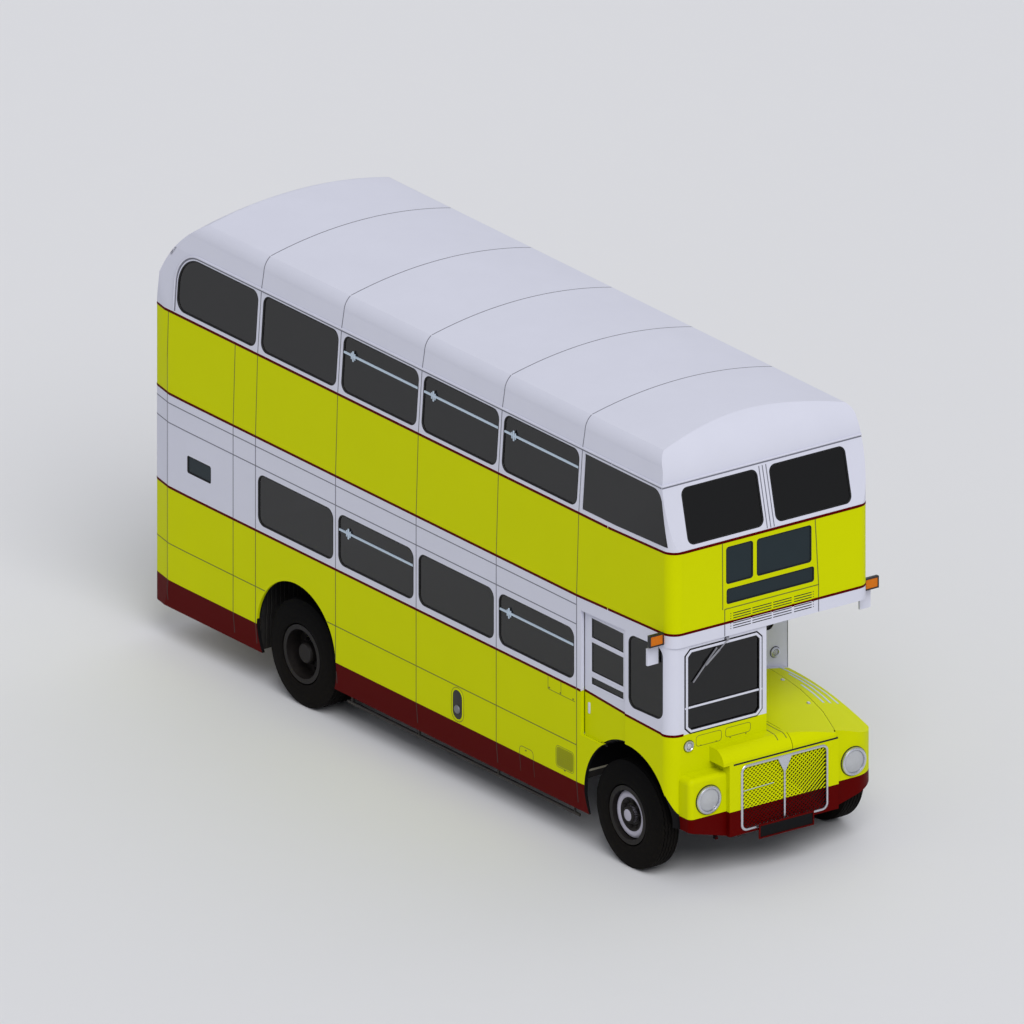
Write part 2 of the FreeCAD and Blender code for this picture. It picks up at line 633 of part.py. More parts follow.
def bonnet_landing():
    """Ledge on the bulkhead that the bonnet's rear edge rests on."""
    strip = box(BULKHEAD_X, BULKHEAD_X + 30, HINGE_Y + 20, 940, 900, 1500)
    return front_end(PANEL + SEAT_GAP).cut(front_end(PANEL + 6)).common(strip)


def radiator_cowl():
    """Fixed cowl ahead of the cab with the hinge strip, over the open radiator box."""
    def roll(d, x0, z0):
        room = box(x0, NOSE_FACE_X - d, -NOSE_HALF - 70 + d, HINGE_Y - CLEAR - d, z0, COWL_BACK_Z - d)
        return front_roll(d, -NOSE_HALF - 100, HINGE_Y).common(room)
    top = roll(0, CAB_FACE_X, NOSE_TOP_Z).cut(roll(15, CAB_FACE_X - 1, NOSE_TOP_Z - 1))
    strip = prism_xz([(BULKHEAD_X, CAB_FLOOR_Z), (CAB_FACE_X, CAB_FLOOR_Z), (CAB_FACE_X, COWL_BACK_Z),
                      ((0, 1322), (BULKHEAD_X, SCUTTLE_Z))], CAB_INNER_Y, HINGE_Y - CLEAR)
    strip = strip.cut(box(BULKHEAD_X - 1, CAB_FACE_X + 1, CAB_INNER_Y + 20, HINGE_Y, 0, 1270))
    outer = box(CAB_FACE_X, NOSE_FACE_X, -NOSE_HALF, NOSE_HALF, NOSE_BOTTOM_Z, NOSE_TOP_Z)
    hollow = box(CAB_FACE_X - 1, NOSE_FACE_X - 20, -NOSE_HALF + 20, NOSE_HALF - 20, 0, NOSE_TOP_Z - 20)
    mouth = prism_yz(rounded(-490, 490, 480, 1108, [50] * 4), NOSE_FACE_X - 50, NOSE_FACE_X + 50)
    shell = outer.cut([hollow, mouth])
    return join([shell, top, strip])


def offside_wing():
    """Square wing block that carries the offside headlamp."""
    def block(d):
        face, outer_y, top = WING_FACE_X - d, -side_y(WING_FACE_X) + 92 + d, 1080 - d
        form = prism_yz([(outer_y, 555 - 3 * d), (-NOSE_HALF, NOSE_BOTTOM_Z - 3 * d), (-NOSE_HALF, top),
                         (outer_y + 60, top), ((outer_y + 18, top - 18), (outer_y, top - 60))], CAB_FACE_X, face)
        rounded_edges = [e for e in form.Edges if all(abs(v.Point.x - face) < 1e-6 for v in e.Vertexes)
                         and e.CenterOfMass.y < -NOSE_HALF - 1 and e.CenterOfMass.z > 600]
        return form.makeFillet(50 - d, rounded_edges)
    return block(0).cut(block(PANEL))


def grille_frame():
    ring = prism_yz(rounded(-505, 505, 465, 1125, [70] * 4), NOSE_FACE_X, NOSE_FACE_X + 15)
    ring = ring.cut(prism_yz(rounded(-480, 480, 490, 1100, [50] * 4), NOSE_FACE_X - 1, NOSE_FACE_X + 20))
    bar = box(NOSE_FACE_X, NOSE_FACE_X + 15, -10, 10, 480, 1110)
    badge_plate = prism_yz([(-45, 1124), (-8, 1010), (8, 1010), (45, 1124)], NOSE_FACE_X, NOSE_FACE_X + 15)
    return join([ring, bar, badge_plate])


def radiator_grille():
    return prism_yz(rounded(-490, 490, 480, 1108, [50] * 4), NOSE_FACE_X - 12, NOSE_FACE_X - 4)


def lamps():
    """Headlamps, front side lamps and rear lamps."""
    pieces = []
    for s, _ in SIDES:
        y = s * (side_y(WING_FACE_X) - HEADLAMP_IN)
        bowl = rod_x(y, HEADLAMP_Z, HEADLAMP_R, WING_FACE_X, WING_FACE_X + 25)
        lens = Part.makeCone(HEADLAMP_R - 25, HEADLAMP_R - 60, 20, Vector(WING_FACE_X + 25, y, HEADLAMP_Z), Vector(1, 0, 0))
        pieces.append(join([bowl, lens]))
    pieces.append(rod_x(-side_y(CAB_FACE_X) + 211, 1354, 55, CAB_FACE_X, CAB_FACE_X + 35))
    pieces.append(rod_x(HALF - 150, 1400, 52, BULKHEAD_X, BULKHEAD_X + 35))
    pieces.extend(rear_lamps)
    return group(pieces)


def number_plates():
    """Blank front plate on its bracket."""
    plate = box(NOSE_FACE_X + 25, FRONT_OVERHANG, -310, 310, 370, 495)
    bracket = box(NOSE_FACE_X - 15, NOSE_FACE_X + 25, -250, 250, NOSE_BOTTOM_Z - 14, NOSE_BOTTOM_Z)
    return join([plate, bracket])


# ---------------------------------------------------------------- glazing
def panes(holes):
    return group([hole.common(GLASS_LAYER) for hole in holes])


def cab_windows():
    """Windscreen and the fixed side window of the cab."""
    layer = cab_plan(GLASS_SET).cut(cab_plan(GLASS_SET + GLASS_T))
    return group([windscreen.common(layer), cab_window.common(layer)])


def bulkhead_glass():
    middle = BULKHEAD_X - WALL / 2
    layer = box(middle - GLASS_T / 2, middle + GLASS_T / 2, -FAR, FAR, 0, FAR)
    return [prism_yz(rounded(y0, y1, LOWER_SILL_Z, LOWER_SILL_Z + LOWER_WINDOW_H, [60] * 4),
                     BULKHEAD_X - 100, BULKHEAD_X + 50).common(layer) for y0, y1 in BULKHEAD_PANES]


def window_rails():
    """Bars of the opening top lights."""
    pieces = []
    for holes, z in ((lower_railed, 1980), (upper_railed, 3742)):
        for hole in holes:
            for s, _ in SIDES:
                pieces.append(on_side(s, hole.common(RAIL_LAYER).common(box(-FAR, FAR, 0, FAR, z - RAIL_H / 2, z + RAIL_H / 2))))
    return group(pieces)


def emergency_window():
    return WALLS.common(exit_body).cut(exit_panes)


def emergency_glass():
    return group([pane.common(GLASS_LAYER) for pane in exit_panes])


# ---------------------------------------------------------------- seats
def seat(back_x, y0, y1, floor_z):
    """Cushion and raked back of a double seat; back_x is the foot of the back's rear face."""
    top = floor_z + SEAT_H
    under = top - CUSHION_T
    cushion = prism_xz([(back_x + SQUAB_T + SEAT_GAP, under), (back_x + SQUAB_T + SEAT_DEPTH, under),
                        (back_x + SQUAB_T + SEAT_DEPTH, top), (back_x + SQUAB_T + SEAT_GAP, top - SEAT_DIP)], y0, y1)
    rake = SQUAB_RAKE * (SEAT_BACK_H - SEAT_H + CUSHION_T)
    squab = prism_xz([(back_x, under), (back_x + SQUAB_T, under),
                      (back_x + SQUAB_T - rake, floor_z + SEAT_BACK_H),
                      (back_x + SQUAB_T / 2 - rake, floor_z + SEAT_BACK_H)], y0, y1)
    return [cushion, squab]


def seat_leg(back_x, y, floor_z):
    """Flat leg frame of a seat: skid, two uprights and the rail under the cushion."""
    x0, x1 = back_x + LEG_INSET, back_x + SQUAB_T + SEAT_DEPTH - LEG_INSET
    top = floor_z + SEAT_H - CUSHION_T - SEAT_GAP
    outer = prism_xz([(x0, floor_z), (x1, floor_z), (x1 - LEG_LEAN, top), (x0, top)], y, y + LEG_TUBE)
    inner = prism_xz([(x0 + LEG_TUBE, floor_z + LEG_TUBE), (x1 - LEG_TUBE - 3, floor_z + LEG_TUBE),
                      (x1 - LEG_LEAN - LEG_TUBE + 3, top - LEG_TUBE), (x0 + LEG_TUBE, top - LEG_TUBE)],
                     y, y + LEG_TUBE)
    return outer.cut(inner)


SEAT_OUT_Y = DOOR_IN_Y - 10
UPPER_SEAT_OUT_Y = side_y(200) - WALL - 40
FIRST_LOWER_X = BULKHEAD_X - WALL - 800
FIRST_UPPER_X = -300.0


def lower_seat_places():
    """Foot of the back, side, outer edge and floor level of each double seat on the lower deck."""
    return [(FIRST_LOWER_X - i * LOWER_PITCH, s, SEAT_OUT_Y, LOWER_FLOOR_Z)
            for i in range(LOWER_ROWS) for s, _ in SIDES]


def upper_seat_places():
    rows = {1: UPPER_ROWS, -1: UPPER_ROWS_OFFSIDE}
    return [(FIRST_UPPER_X - i * UPPER_PITCH, s, UPPER_SEAT_OUT_Y, UPPER_FLOOR_Z)
            for s, _ in SIDES for i in range(rows[s])]


def seats(places):
    return [piece for x, s, out_y, floor_z in places
            for piece in seat(x, s * (out_y - SEAT_W), s * out_y, floor_z)]


def seat_frames():
    """Two leg frames under each double seat of both decks."""
    return group([seat_leg(x, s * y - LEG_TUBE / 2, floor_z)
                  for x, s, out_y, floor_z in lower_seat_places() + upper_seat_places()
                  for y in (out_y - SEAT_W + LEG_SIDE, out_y - LEG_SIDE)])


def benches():
    """Cushion and back of the inward-facing benches on the rear wheel boxes."""
    pieces = []
    top = WELL_TOP + BOX_T
    x0, x1 = max(WELL_REAR_X, PLATFORM_X + WALL) + BENCH_END, WELL_FRONT_X - BENCH_END
    back = SEAT_OUT_Y - BENCH_BACK_T
    for s, _ in SIDES:
        pieces.append(box(x0, x1, s * (WELL_INNER_Y - BOX_T), s * (back - SEAT_GAP), top, top + BENCH_CUSHION_T))
        pieces.append(prism_yz([(s * back, top), (s * SEAT_OUT_Y, top), (s * SEAT_OUT_Y, top + BENCH_BACK_H),
                                (s * (back + BENCH_BACK_T / 2), top + BENCH_BACK_H)], x0, x1))
    return pieces


def lower_seats():
    """Cushions and backs of the lower deck's seats and benches."""
    return group(seats(lower_seat_places()) + benches())


def upper_seats():
    return group(seats(upper_seat_places()))


# ---------------------------------------------------------------- staircase and platform
def staircase():
    """Three winders round the newel, then a straight flight along the offside."""
    rise = (UPPER_FLOOR_Z - PLATFORM_Z) / RISERS
    x0, x1 = REAR_X + 60, REAR_X + 60 + STAIR_W
    y0, y1 = -INNER + 12, STAIR_IN_Y
    newel = (x1, y1)
    corner_room = box(x0, x1, y0, y1, 0, FAR).common(inside)
    steps = []
    for k in range(3):
        start, end = math.radians(180 + 30 * k), math.radians(180 + 30 * (k + 1))
        reach = 2 * STAIR_W
        wedge = prism_xy([newel, (newel[0] + reach * math.cos(start), newel[1] + reach * math.sin(start)),
                          (newel[0] + reach * math.cos(end), newel[1] + reach * math.sin(end))],
                         PLATFORM_Z + rise * k, PLATFORM_Z + rise * (k + 1))
        steps.append(wedge.common(corner_room))
    profile = [(x1, PLATFORM_Z + 3 * rise)]
    for k in range(3, RISERS - 1):
        z = PLATFORM_Z + rise * (k + 1)
        profile += [(x1 + GOING * (k - 3), z), (x1 + GOING * (k - 2), z)]
    last_x = profile[-1][0]
    profile += [(last_x, profile[-1][1] - rise), (x1 + GOING, PLATFORM_Z + 3 * rise)]
    flight = prism_xz(profile, y0, y1)
    return join(steps + [flight])


def platform_pole():
    """Grab pole at the platform edge and its bracket rails."""
    return rod_z(REAR_X + 850, HALF - 110, 16, PLATFORM_Z, LOWER_CEILING_Z)


# ---------------------------------------------------------------- running gear
def front_subframe():
    """Rails, cross-members and the front beam with its towing eyes."""
    rails = [box(-950, 690, s * 380, s * 440, 440, 560) for s, _ in SIDES]
    cross = [box(x - 40, x + 40, -380, 380, 460, 540) for x in (-350, 300)]
    beam = box(600, 690, -560, 560, 440, 540)
    eyes = [box(610, 690, s * 400 - 15, s * 400 + 15, 350, 440).cut(rod_y(650, 395, TOW_R, s * 400 - 20, s * 400 + 20))
            for s, _ in SIDES]
    towers = [box(-90, 90, s * 440, s * 500, 440, 760) for s, _ in SIDES]
    hangers = [box(-950, -870, s * 380, s * 440, 560, LOWER_FLOOR_Z - FLOOR_THICKNESS - 60) for s, _ in SIDES]
    return join(rails + cross + [beam] + eyes + towers + hangers)


TOW_R = 20.0


def underframe():
    """Cross-bearers at each pillar with two longitudinals, under the saloon floor."""
    z1 = LOWER_FLOOR_Z - FLOOR_THICKNESS
    front, rear = BULKHEAD_X, WELL_FRONT_X + BOX_T
    rails = [box(rear, front, s * 380, s * 440, z1 - 60, z1) for s, _ in SIDES]
    places = [front - 30] + stations[1:BAYS - 1] + [rear + 30]
    bearers = [box(x - 30, x + 30, -INNER, INNER, z1 - 60, z1).common(inside) for x in places]
    return join(rails + bearers + rear_rails(z1, rear))


def rear_rails(z1, x1):
    """Rails over the rear axle down to the platform, with the rear towing eye."""
    drop = PLATFORM_X + 40
    rails = [prism_xz([(drop, z1), (x1, z1), (x1, z1 - 60), (drop + 80, z1 - 60), (drop + 80, SKIRT_Z - 70),
                       (REAR_X + 200, SKIRT_Z - 70), (REAR_X + 200, SKIRT_Z), (drop, SKIRT_Z)],
                      s * 380, s * 440) for s, _ in SIDES]
    cross = [box(x, x + 60, -380, 380, z1 - 60, z1) for x in (PLATFORM_X + 200, x1 - 160)]
    tail = box(REAR_X + 200, REAR_X + 260, -380, 380, SKIRT_Z - 70, SKIRT_Z)
    eye = box(REAR_X + 110, REAR_X + 200, -15, 15, SKIRT_Z - 70, SKIRT_Z)
    eye = eye.cut(rod_y(REAR_X + 150, SKIRT_Z - 35, TOW_R, -20, 20))
    return rails + cross + [tail, eye]


def wishbones():
    """Upper and lower arms that hold each front kingpin."""
    pieces = []
    for s, _ in SIDES:
        for z in (TYRE_R - 145, TYRE_R + 115):
            arm = prism_xy([(-90, s * 500), (90, s * 500), (35, s * KINGPIN_Y), (-35, s * KINGPIN_Y)], z, z + 30)
            pin_end = rod_z(0, s * KINGPIN_Y, 35, z, z + 30)
            pieces.append(join([arm, pin_end]))
    return group(pieces)


def stub_axle(side):
    """Kingpin boss and wheel spindle."""
    boss = rod_z(0, side * KINGPIN_Y, 35, TYRE_R - 115 + SEAT_GAP, TYRE_R + 115 - SEAT_GAP)
    spindle = rod_y(0, TYRE_R, SPINDLE_R, side * KINGPIN_Y, side * (KINGPIN_Y + 190))
    return join([boss, spindle])


def tyre(outer_y, width):
    """Tyre section turned about the axle: bead seats, bulged walls and tread shoulders."""
    y1, y0 = outer_y, outer_y - width
    bead, shoulder = RIM_R + FLANGE_H, TYRE_R - TYRE_SHOULDER
    return [(y0 + BEAD_SET, RIM_R), (y1 - BEAD_SET, RIM_R), (y1 - BEAD_SET, bead),
            ((y1 - 4, (bead + shoulder) / 2 - 25), (y1, shoulder)), (y1 - TREAD_SET, TYRE_R),
            (y0 + TREAD_SET, TYRE_R), (y0, shoulder), ((y0 + 4, (bead + shoulder) / 2 - 25), (y0 + BEAD_SET, bead))]


def rim(outer_y, width, disc_y, disc_bulge, hub_r):
    """Rim barrel with flanges and a dished disc."""
    y1, y0 = outer_y - BEAD_SET, outer_y - width + BEAD_SET
    b = RIM_R - RIM_WALL
    f = RIM_R + FLANGE_H
    barrel = [(y0 - FLANGE_T, b), (y1 + FLANGE_T, b), (y1 + FLANGE_T, f), (y1, f), (y1, RIM_R), (y0, RIM_R),
              (y0, f), (y0 - FLANGE_T, f)]
    disc = [(disc_y, hub_r), (disc_y + disc_bulge, hub_r + 60), (disc_y + disc_bulge, hub_r + 75),
            (disc_y, b + 2), (disc_y - 14, b + 2), (disc_y + disc_bulge - 14, hub_r + 72),
            (disc_y + disc_bulge - 14, hub_r + 62), (disc_y - 14, hub_r)]
    return barrel, disc


def turned(side, profile, x):
    return on_side(side, spin_y(profile, x, TYRE_R))


def front_wheel(side):
    """Disc wheel with its hub running on the spindle."""
    barrel, disc = rim(TYRE_OUTER_Y, TYRE_W, TYRE_OUTER_Y - 75, 30, 100)
    hub = [(KINGPIN_Y + 50, SPINDLE_R + RUNNING_FIT), (KINGPIN_Y + 200, SPINDLE_R + RUNNING_FIT),
           (KINGPIN_Y + 200, 0), (TYRE_OUTER_Y - 5, 0), (TYRE_OUTER_Y - 5, 70), (TYRE_OUTER_Y - 20, 83),
           (TYRE_OUTER_Y - 60, 83), (TYRE_OUTER_Y - 60, 105), (TYRE_OUTER_Y - 95, 105), (KINGPIN_Y + 120, 80),
           (KINGPIN_Y + 50, 80)]
    wheel = join([turned(side, p, 0) for p in (barrel, disc, hub)])
    holes = [rod_y(195 * math.cos(math.radians(a)), TYRE_R + 195 * math.sin(math.radians(a)), 22,
                   side * (TYRE_OUTER_Y - 200), side * TYRE_OUTER_Y) for a in range(0, 360, 36)]
    return wheel.cut(holes)


def front_tyre(side):
    return turned(side, tyre(TYRE_OUTER_Y, TYRE_W), 0)


TWIN_PITCH = TYRE_W + TWIN_GAP


def rear_wheel(side):
    """Twin rims on one hub."""
    outer_barrel, outer_disc = rim(TYRE_OUTER_Y, TYRE_W, TYRE_OUTER_Y - 170, 0, 120)
    inner_barrel, inner_disc = rim(TYRE_OUTER_Y - TWIN_PITCH, TYRE_W, TYRE_OUTER_Y - 184, 0, 120)
    y = TYRE_OUTER_Y
    link = [(y - TWIN_PITCH - 20, RIM_R - RIM_WALL), (y - TYRE_W + 12, RIM_R - RIM_WALL),
            (y - TYRE_W + 12, RIM_R), (y - TWIN_PITCH - 20, RIM_R)]
    hub = [(y - 480, HALF_SHAFT_R + RUNNING_FIT), (y - 200, HALF_SHAFT_R + RUNNING_FIT), (y - 200, 0),
           (y - 40, 0), (y - 40, 90), (y - 60, 100), (y - 165, 105), (y - 165, 125), (y - 205, 125),
           (y - 240, 100), (y - 480, 100)]
    wheel = join([turned(side, p, REAR_AXLE_X) for p in (outer_barrel, outer_disc, inner_barrel, link, hub)])
    holes = [rod_y(REAR_AXLE_X + 180 * math.cos(math.radians(a)), TYRE_R + 180 * math.sin(math.radians(a)), 25,
                   side * (y - 300), side * y) for a in range(0, 360, 45)]
    return wheel.cut(holes)


def rear_tyres(side):
    return group([turned(side, tyre(y, TYRE_W), REAR_AXLE_X) for y in (TYRE_OUTER_Y, TYRE_OUTER_Y - TWIN_PITCH)])


FINAL_DRIVE_R = 155.0


def rear_axle():
    """Axle casing with the final drive and the half-shaft ends in the hubs."""
    y = TYRE_OUTER_Y - 480
    tube = rod_y(REAR_AXLE_X, TYRE_R, 60, -y + 5, y - 5)
    final_drive = rod_y(REAR_AXLE_X, TYRE_R, FINAL_DRIVE_R, -120, 120)
    shafts = rod_y(REAR_AXLE_X, TYRE_R, HALF_SHAFT_R, -(TYRE_OUTER_Y - 205), TYRE_OUTER_Y - 205)
    mounts = [box(REAR_AXLE_X - 60, REAR_AXLE_X + 60, s * 380, s * 440, TYRE_R,
                  LOWER_FLOOR_Z - FLOOR_THICKNESS - 60) for s, _ in SIDES]
    return join([tube, final_drive, shafts] + mounts)


def engine():
    """Engine as a plain block on the front cross-members, with the radiator ahead of it."""
    return box(-520, 420, -240, 380, 540, 1080)


def propshaft():
    """Gearbox amidships and the shaft to the rear axle."""
    gearbox = box(-2300, -1700, -200, 200, 380, LOWER_FLOOR_Z - FLOOR_THICKNESS - 60)
    shaft = rod_x(0, TYRE_R, 45, REAR_AXLE_X + FINAL_DRIVE_R - 5, -2300)
    front_shaft = rod_x(0, 590, 40, -1700, -520)
    return join([gearbox, shaft, front_shaft]).cut(rod_y(REAR_AXLE_X, TYRE_R, FINAL_DRIVE_R, -120, 120))


def fuel_tank():
    x = stations[2]
    return box(x - 450, x + 550, INNER - 580, INNER - 80, 400, LOWER_FLOOR_Z - FLOOR_THICKNESS - 60)


def driver_seat():
    """Cushion and back on a pedestal."""
    z = CAB_FLOOR_Z
    top = z + DRIVER_SEAT_H
    y0, y1 = DRIVER_Y - DRIVER_SEAT_W / 2, DRIVER_Y + DRIVER_SEAT_W / 2
    x0, x1 = DRIVER_BACK_X, DRIVER_BACK_X + SQUAB_T
    cushion = box(x1 + SEAT_GAP, x1 + SEAT_DEPTH, y0, y1, top - CUSHION_T, top)
    squab = prism_xz([(x0, top - CUSHION_T), (x1, top - CUSHION_T), (x1 - DRIVER_RAKE, top + DRIVER_BACK_H),
                      (x0 - DRIVER_RAKE, top + DRIVER_BACK_H)], y0, y1)
    pedestal = box(x1 + PEDESTAL_INSET, x1 + SEAT_DEPTH - PEDESTAL_INSET, y0 + PEDESTAL_INSET, y1 - PEDESTAL_INSET,
                   z, top - CUSHION_T - SEAT_GAP)
    return group([cushion, squab, pedestal])


def steering_wheel():
    """Rim, four spokes and hub square to the raked column."""
    ax = Vector(-COLUMN_RUN, 0, COLUMN_TOP[2] - CAB_FLOOR_Z + FLOOR_THICKNESS).normalize()
    centre = Vector(*COLUMN_TOP) + ax * (25 + SEAT_GAP)
    ring = Part.makeTorus(220, 13, centre, ax)
    hub = Part.makeCylinder(35, 45, centre - ax * 25, ax)
    across = Vector(0, 1, 0)
    up = ax.cross(across)
    spokes = []
    for k in range(4):
        a = math.radians(90 * k + 45)
        direction = across * math.cos(a) + up * math.sin(a)
        spokes.append(Part.makeCylinder(8, 215, centre, direction))
    return join([ring, hub] + spokes)


TRAFFICATOR_Y = HALF + 98


def trafficators():
    """Amber arm lamps on the front corners."""
    pieces = []
    for s, _ in SIDES:
        case = box(500, 530, s * (TRAFFICATOR_Y - 188), s * TRAFFICATOR_Y, 2398, 2503)
        pieces.append(case.cut(OUTER))
    return group(pieces)


def mirrors():
    """Mirror heads on arms under the trafficators."""
    pieces = []
    for s, _ in SIDES:
        y = TRAFFICATOR_Y
        head = box(425, 450, s * (y - 153), s * (y - 28), 2180, 2350)
        arm = box(430, 445, s * (y - 133), s * (y - 118), 2340, 2405)
        foot = box(430, 445, s * (y - 188), s * (y - 118), 2395, 2410)
        pieces.append(join([head, arm, foot]).cut([OUTER, cab_plan(0)]))
    return group(pieces)


# ---------------------------------------------------------------- all pieces
def build():
    corner = lower_rear_corner()
    right, left = lower_side(-1), lower_side(1)
    cab = cab_shell()
    track = door_track([right, cab])
    right = join([right, track.common(box(-FAR, BULKHEAD_X, -FAR, 0, 0, FAR))])
    cab = join([cab, track.common(box(BULKHEAD_X, FAR, -FAR, 0, 0, FAR))])
    frame = underframe()
    nodes = {
        "underframe": frame,
        "front_subframe": front_subframe(),
        "lower_deck_floor": lower_deck_floor(),
        "rear_platform": rear_platform(corner),
        "upper_deck_floor": upper_deck_floor(),
        "lower_side_right": right,
        "lower_side_left": left,
        "lower_rear_corner": corner,
        "upper_side_right": upper_side(-1),
        "upper_side_left": upper_side(1),
        "upper_front": upper_front(),
        "upper_rear": upper_rear(),
        "front_dome": roof(BULKHEAD_X, FAR),
        "roof_panels": roof(PLATFORM_X, BULKHEAD_X),
        "rear_dome": roof(-FAR, PLATFORM_X),
        "front_bulkhead": front_bulkhead(),
        "rear_bulkhead": rear_bulkhead(),
        "cab_shell": cab,
        "cab_floor": cab_floor(),
        "cab_door": cab_door(),
        "cab_door_glass": cab_door_glass(),
        "bonnet": bonnet(),
        "nearside_wing": nearside_wing(),
        "offside_wing": offside_wing(),
        "radiator_cowl": radiator_cowl(),
        "grille_frame": grille_frame(),
        "radiator_grille": radiator_grille(),
        "lamps": lamps(),
        "number_plates": number_plates(),
        "lower_windows": group([panes(lower_holes)] + bulkhead_glass() + [panes([rear_lower_pane])]),
        "upper_windows": panes(upper_holes + front_holes + rear_quarters),
        "cab_windows": cab_windows(),
        "window_rails": window_rails(),
        "destination_displays": panes(display_holes + [side_display]),
        "emergency_window": emergency_window(),
        "emergency_glass": emergency_glass(),
        "lower_seats": lower_seats(),
        "upper_seats": upper_seats(),
        "seat_frames": seat_frames(),
        "driver_seat": driver_seat(),
        "steering_wheel": steering_wheel(),
        "staircase": staircase(),
        "platform_pole": platform_pole(),
        "engine": engine(),
        "propshaft": propshaft(),
        "fuel_tank": fuel_tank(),
        "rear_axle": rear_axle(),
        "wishbones": wishbones(),
        "mirrors": mirrors(),
        "trafficators": trafficators(),
    }
    for side, name in SIDES:
        nodes["stub_axle_" + name] = stub_axle(side)
        nodes["front_wheel_" + name] = front_wheel(side)
        nodes["front_tyre_" + name] = front_tyre(side)
        nodes["rear_wheel_" + name] = rear_wheel(side)
        nodes["rear_tyres_" + name] = rear_tyres(side)
    return nodes


os.makedirs("parts", exist_ok=True)
for node, shape in build().items():
    save(node, shape)
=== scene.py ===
"""Looks of a half-cab double decker bus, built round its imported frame.

Metres; +X forward, +Y nearside, +Z up, the origin on the ground under the middle of the bus.
Every new piece is a surface worked out with numpy; places come from the frame's own boxes, and
lengths along the bus are given from the front axle.
"""

import json
import math

import bmesh
import bpy
import numpy as np
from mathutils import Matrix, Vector
from mathutils.bvhtree import BVHTree


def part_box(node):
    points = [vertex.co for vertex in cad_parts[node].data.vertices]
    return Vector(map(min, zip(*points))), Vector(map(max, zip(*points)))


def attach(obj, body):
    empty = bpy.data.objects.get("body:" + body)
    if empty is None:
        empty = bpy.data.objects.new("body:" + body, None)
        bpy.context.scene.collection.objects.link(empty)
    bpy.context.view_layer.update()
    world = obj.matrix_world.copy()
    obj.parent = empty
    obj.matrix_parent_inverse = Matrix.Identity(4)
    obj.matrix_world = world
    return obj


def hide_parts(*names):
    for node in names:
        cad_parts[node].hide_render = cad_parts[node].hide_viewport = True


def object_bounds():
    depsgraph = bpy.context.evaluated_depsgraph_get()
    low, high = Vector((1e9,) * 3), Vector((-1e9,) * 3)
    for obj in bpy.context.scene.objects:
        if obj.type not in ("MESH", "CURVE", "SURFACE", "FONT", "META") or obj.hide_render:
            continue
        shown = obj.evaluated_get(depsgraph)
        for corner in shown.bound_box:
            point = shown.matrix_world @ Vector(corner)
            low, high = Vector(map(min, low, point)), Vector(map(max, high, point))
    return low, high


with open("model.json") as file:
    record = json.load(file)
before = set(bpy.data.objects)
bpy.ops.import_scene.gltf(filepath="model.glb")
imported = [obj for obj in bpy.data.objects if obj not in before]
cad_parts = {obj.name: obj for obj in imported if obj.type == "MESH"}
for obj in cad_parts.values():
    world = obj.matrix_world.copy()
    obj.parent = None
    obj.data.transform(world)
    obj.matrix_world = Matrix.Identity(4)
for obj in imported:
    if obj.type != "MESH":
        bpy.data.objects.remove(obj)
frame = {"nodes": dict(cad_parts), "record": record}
cad_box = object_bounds()

X = np.array((1.0, 0.0, 0.0))
Y = np.array((0.0, 1.0, 0.0))
Z = np.array((0.0, 0.0, 1.0))


# ---------------------------------------------------------------- reading the frame
def mesh_points(mesh):
    """All the points of a mesh."""
    points = np.zeros(len(mesh.vertices) * 3, np.float32)
    mesh.vertices.foreach_get("co", points)
    return points.reshape(-1, 3).astype(float)


def mesh_arrays(node):
    """Corner points and triangles of a CAD node."""
    mesh = frame["nodes"][node].data
    corners = np.zeros(len(mesh.loops), np.int32)
    mesh.loops.foreach_get("vertex_index", corners)
    return mesh_points(mesh), corners.reshape(-1, 3)


def solids(node):
    """Points of each separate solid of a node, found by spreading the lowest label over shared corners."""
    points, triangles = mesh_arrays(node)
    _, same = np.unique(np.round(points, 5), axis=0, return_inverse=True)
    same = same.reshape(-1)
    tri = same[triangles]
    label = np.arange(same.max() + 1)
    settled = False
    while not settled:
        spread = label.copy()
        np.minimum.at(spread, tri.reshape(-1), np.repeat(label[tri].min(axis=1), 3))
        spread = spread[spread]
        settled = np.array_equal(spread, label)
        label = spread
    owner = label[same]
    return [points[owner == key] for key in np.unique(owner)]


def boxes(node):
    """Lowest and highest corner of each solid of a node."""
    return [(points.min(axis=0), points.max(axis=0)) for points in solids(node)]


def middle(node):
    """Middle of a node's box."""
    low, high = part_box(node)
    return np.array((low + high) / 2)


AXLE_X = middle("front_tyre_right")[0]
REAR_AXLE_X = middle("rear_tyres_right")[0]
HALF_WIDTH = abs(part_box("lower_side_right")[0].y)
PLATFORM_WALL_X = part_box("rear_bulkhead")[0].x


def cast(tree, starts, ways):
    """First hits of rays: points, normals that face the ray, and which rays met anything."""
    starts = np.atleast_2d(starts)
    ways = np.broadcast_to(ways, starts.shape)
    hits = [tree.ray_cast(Vector(a), Vector(b)) for a, b in zip(starts, ways)]
    met = np.array([hit[0] is not None for hit in hits])
    points = np.array([hit[0] if hit[0] is not None else (0, 0, 0) for hit in hits], float)
    normals = np.array([hit[1] if hit[0] is not None else (0, 0, 1) for hit in hits], float)
    facing = np.sign(np.einsum("ij,ij->i", normals, ways))[:, None]
    return points, normals * -np.where(facing == 0, 1, facing), met


# ---------------------------------------------------------------- surfaces on grids
def mm(*points):
    """Points given in millimetres."""
    return np.array(points) / 1000


def unit(vectors):
    """Vectors of length one."""
    return vectors / np.maximum(np.linalg.norm(vectors, axis=-1, keepdims=True), 1e-12)


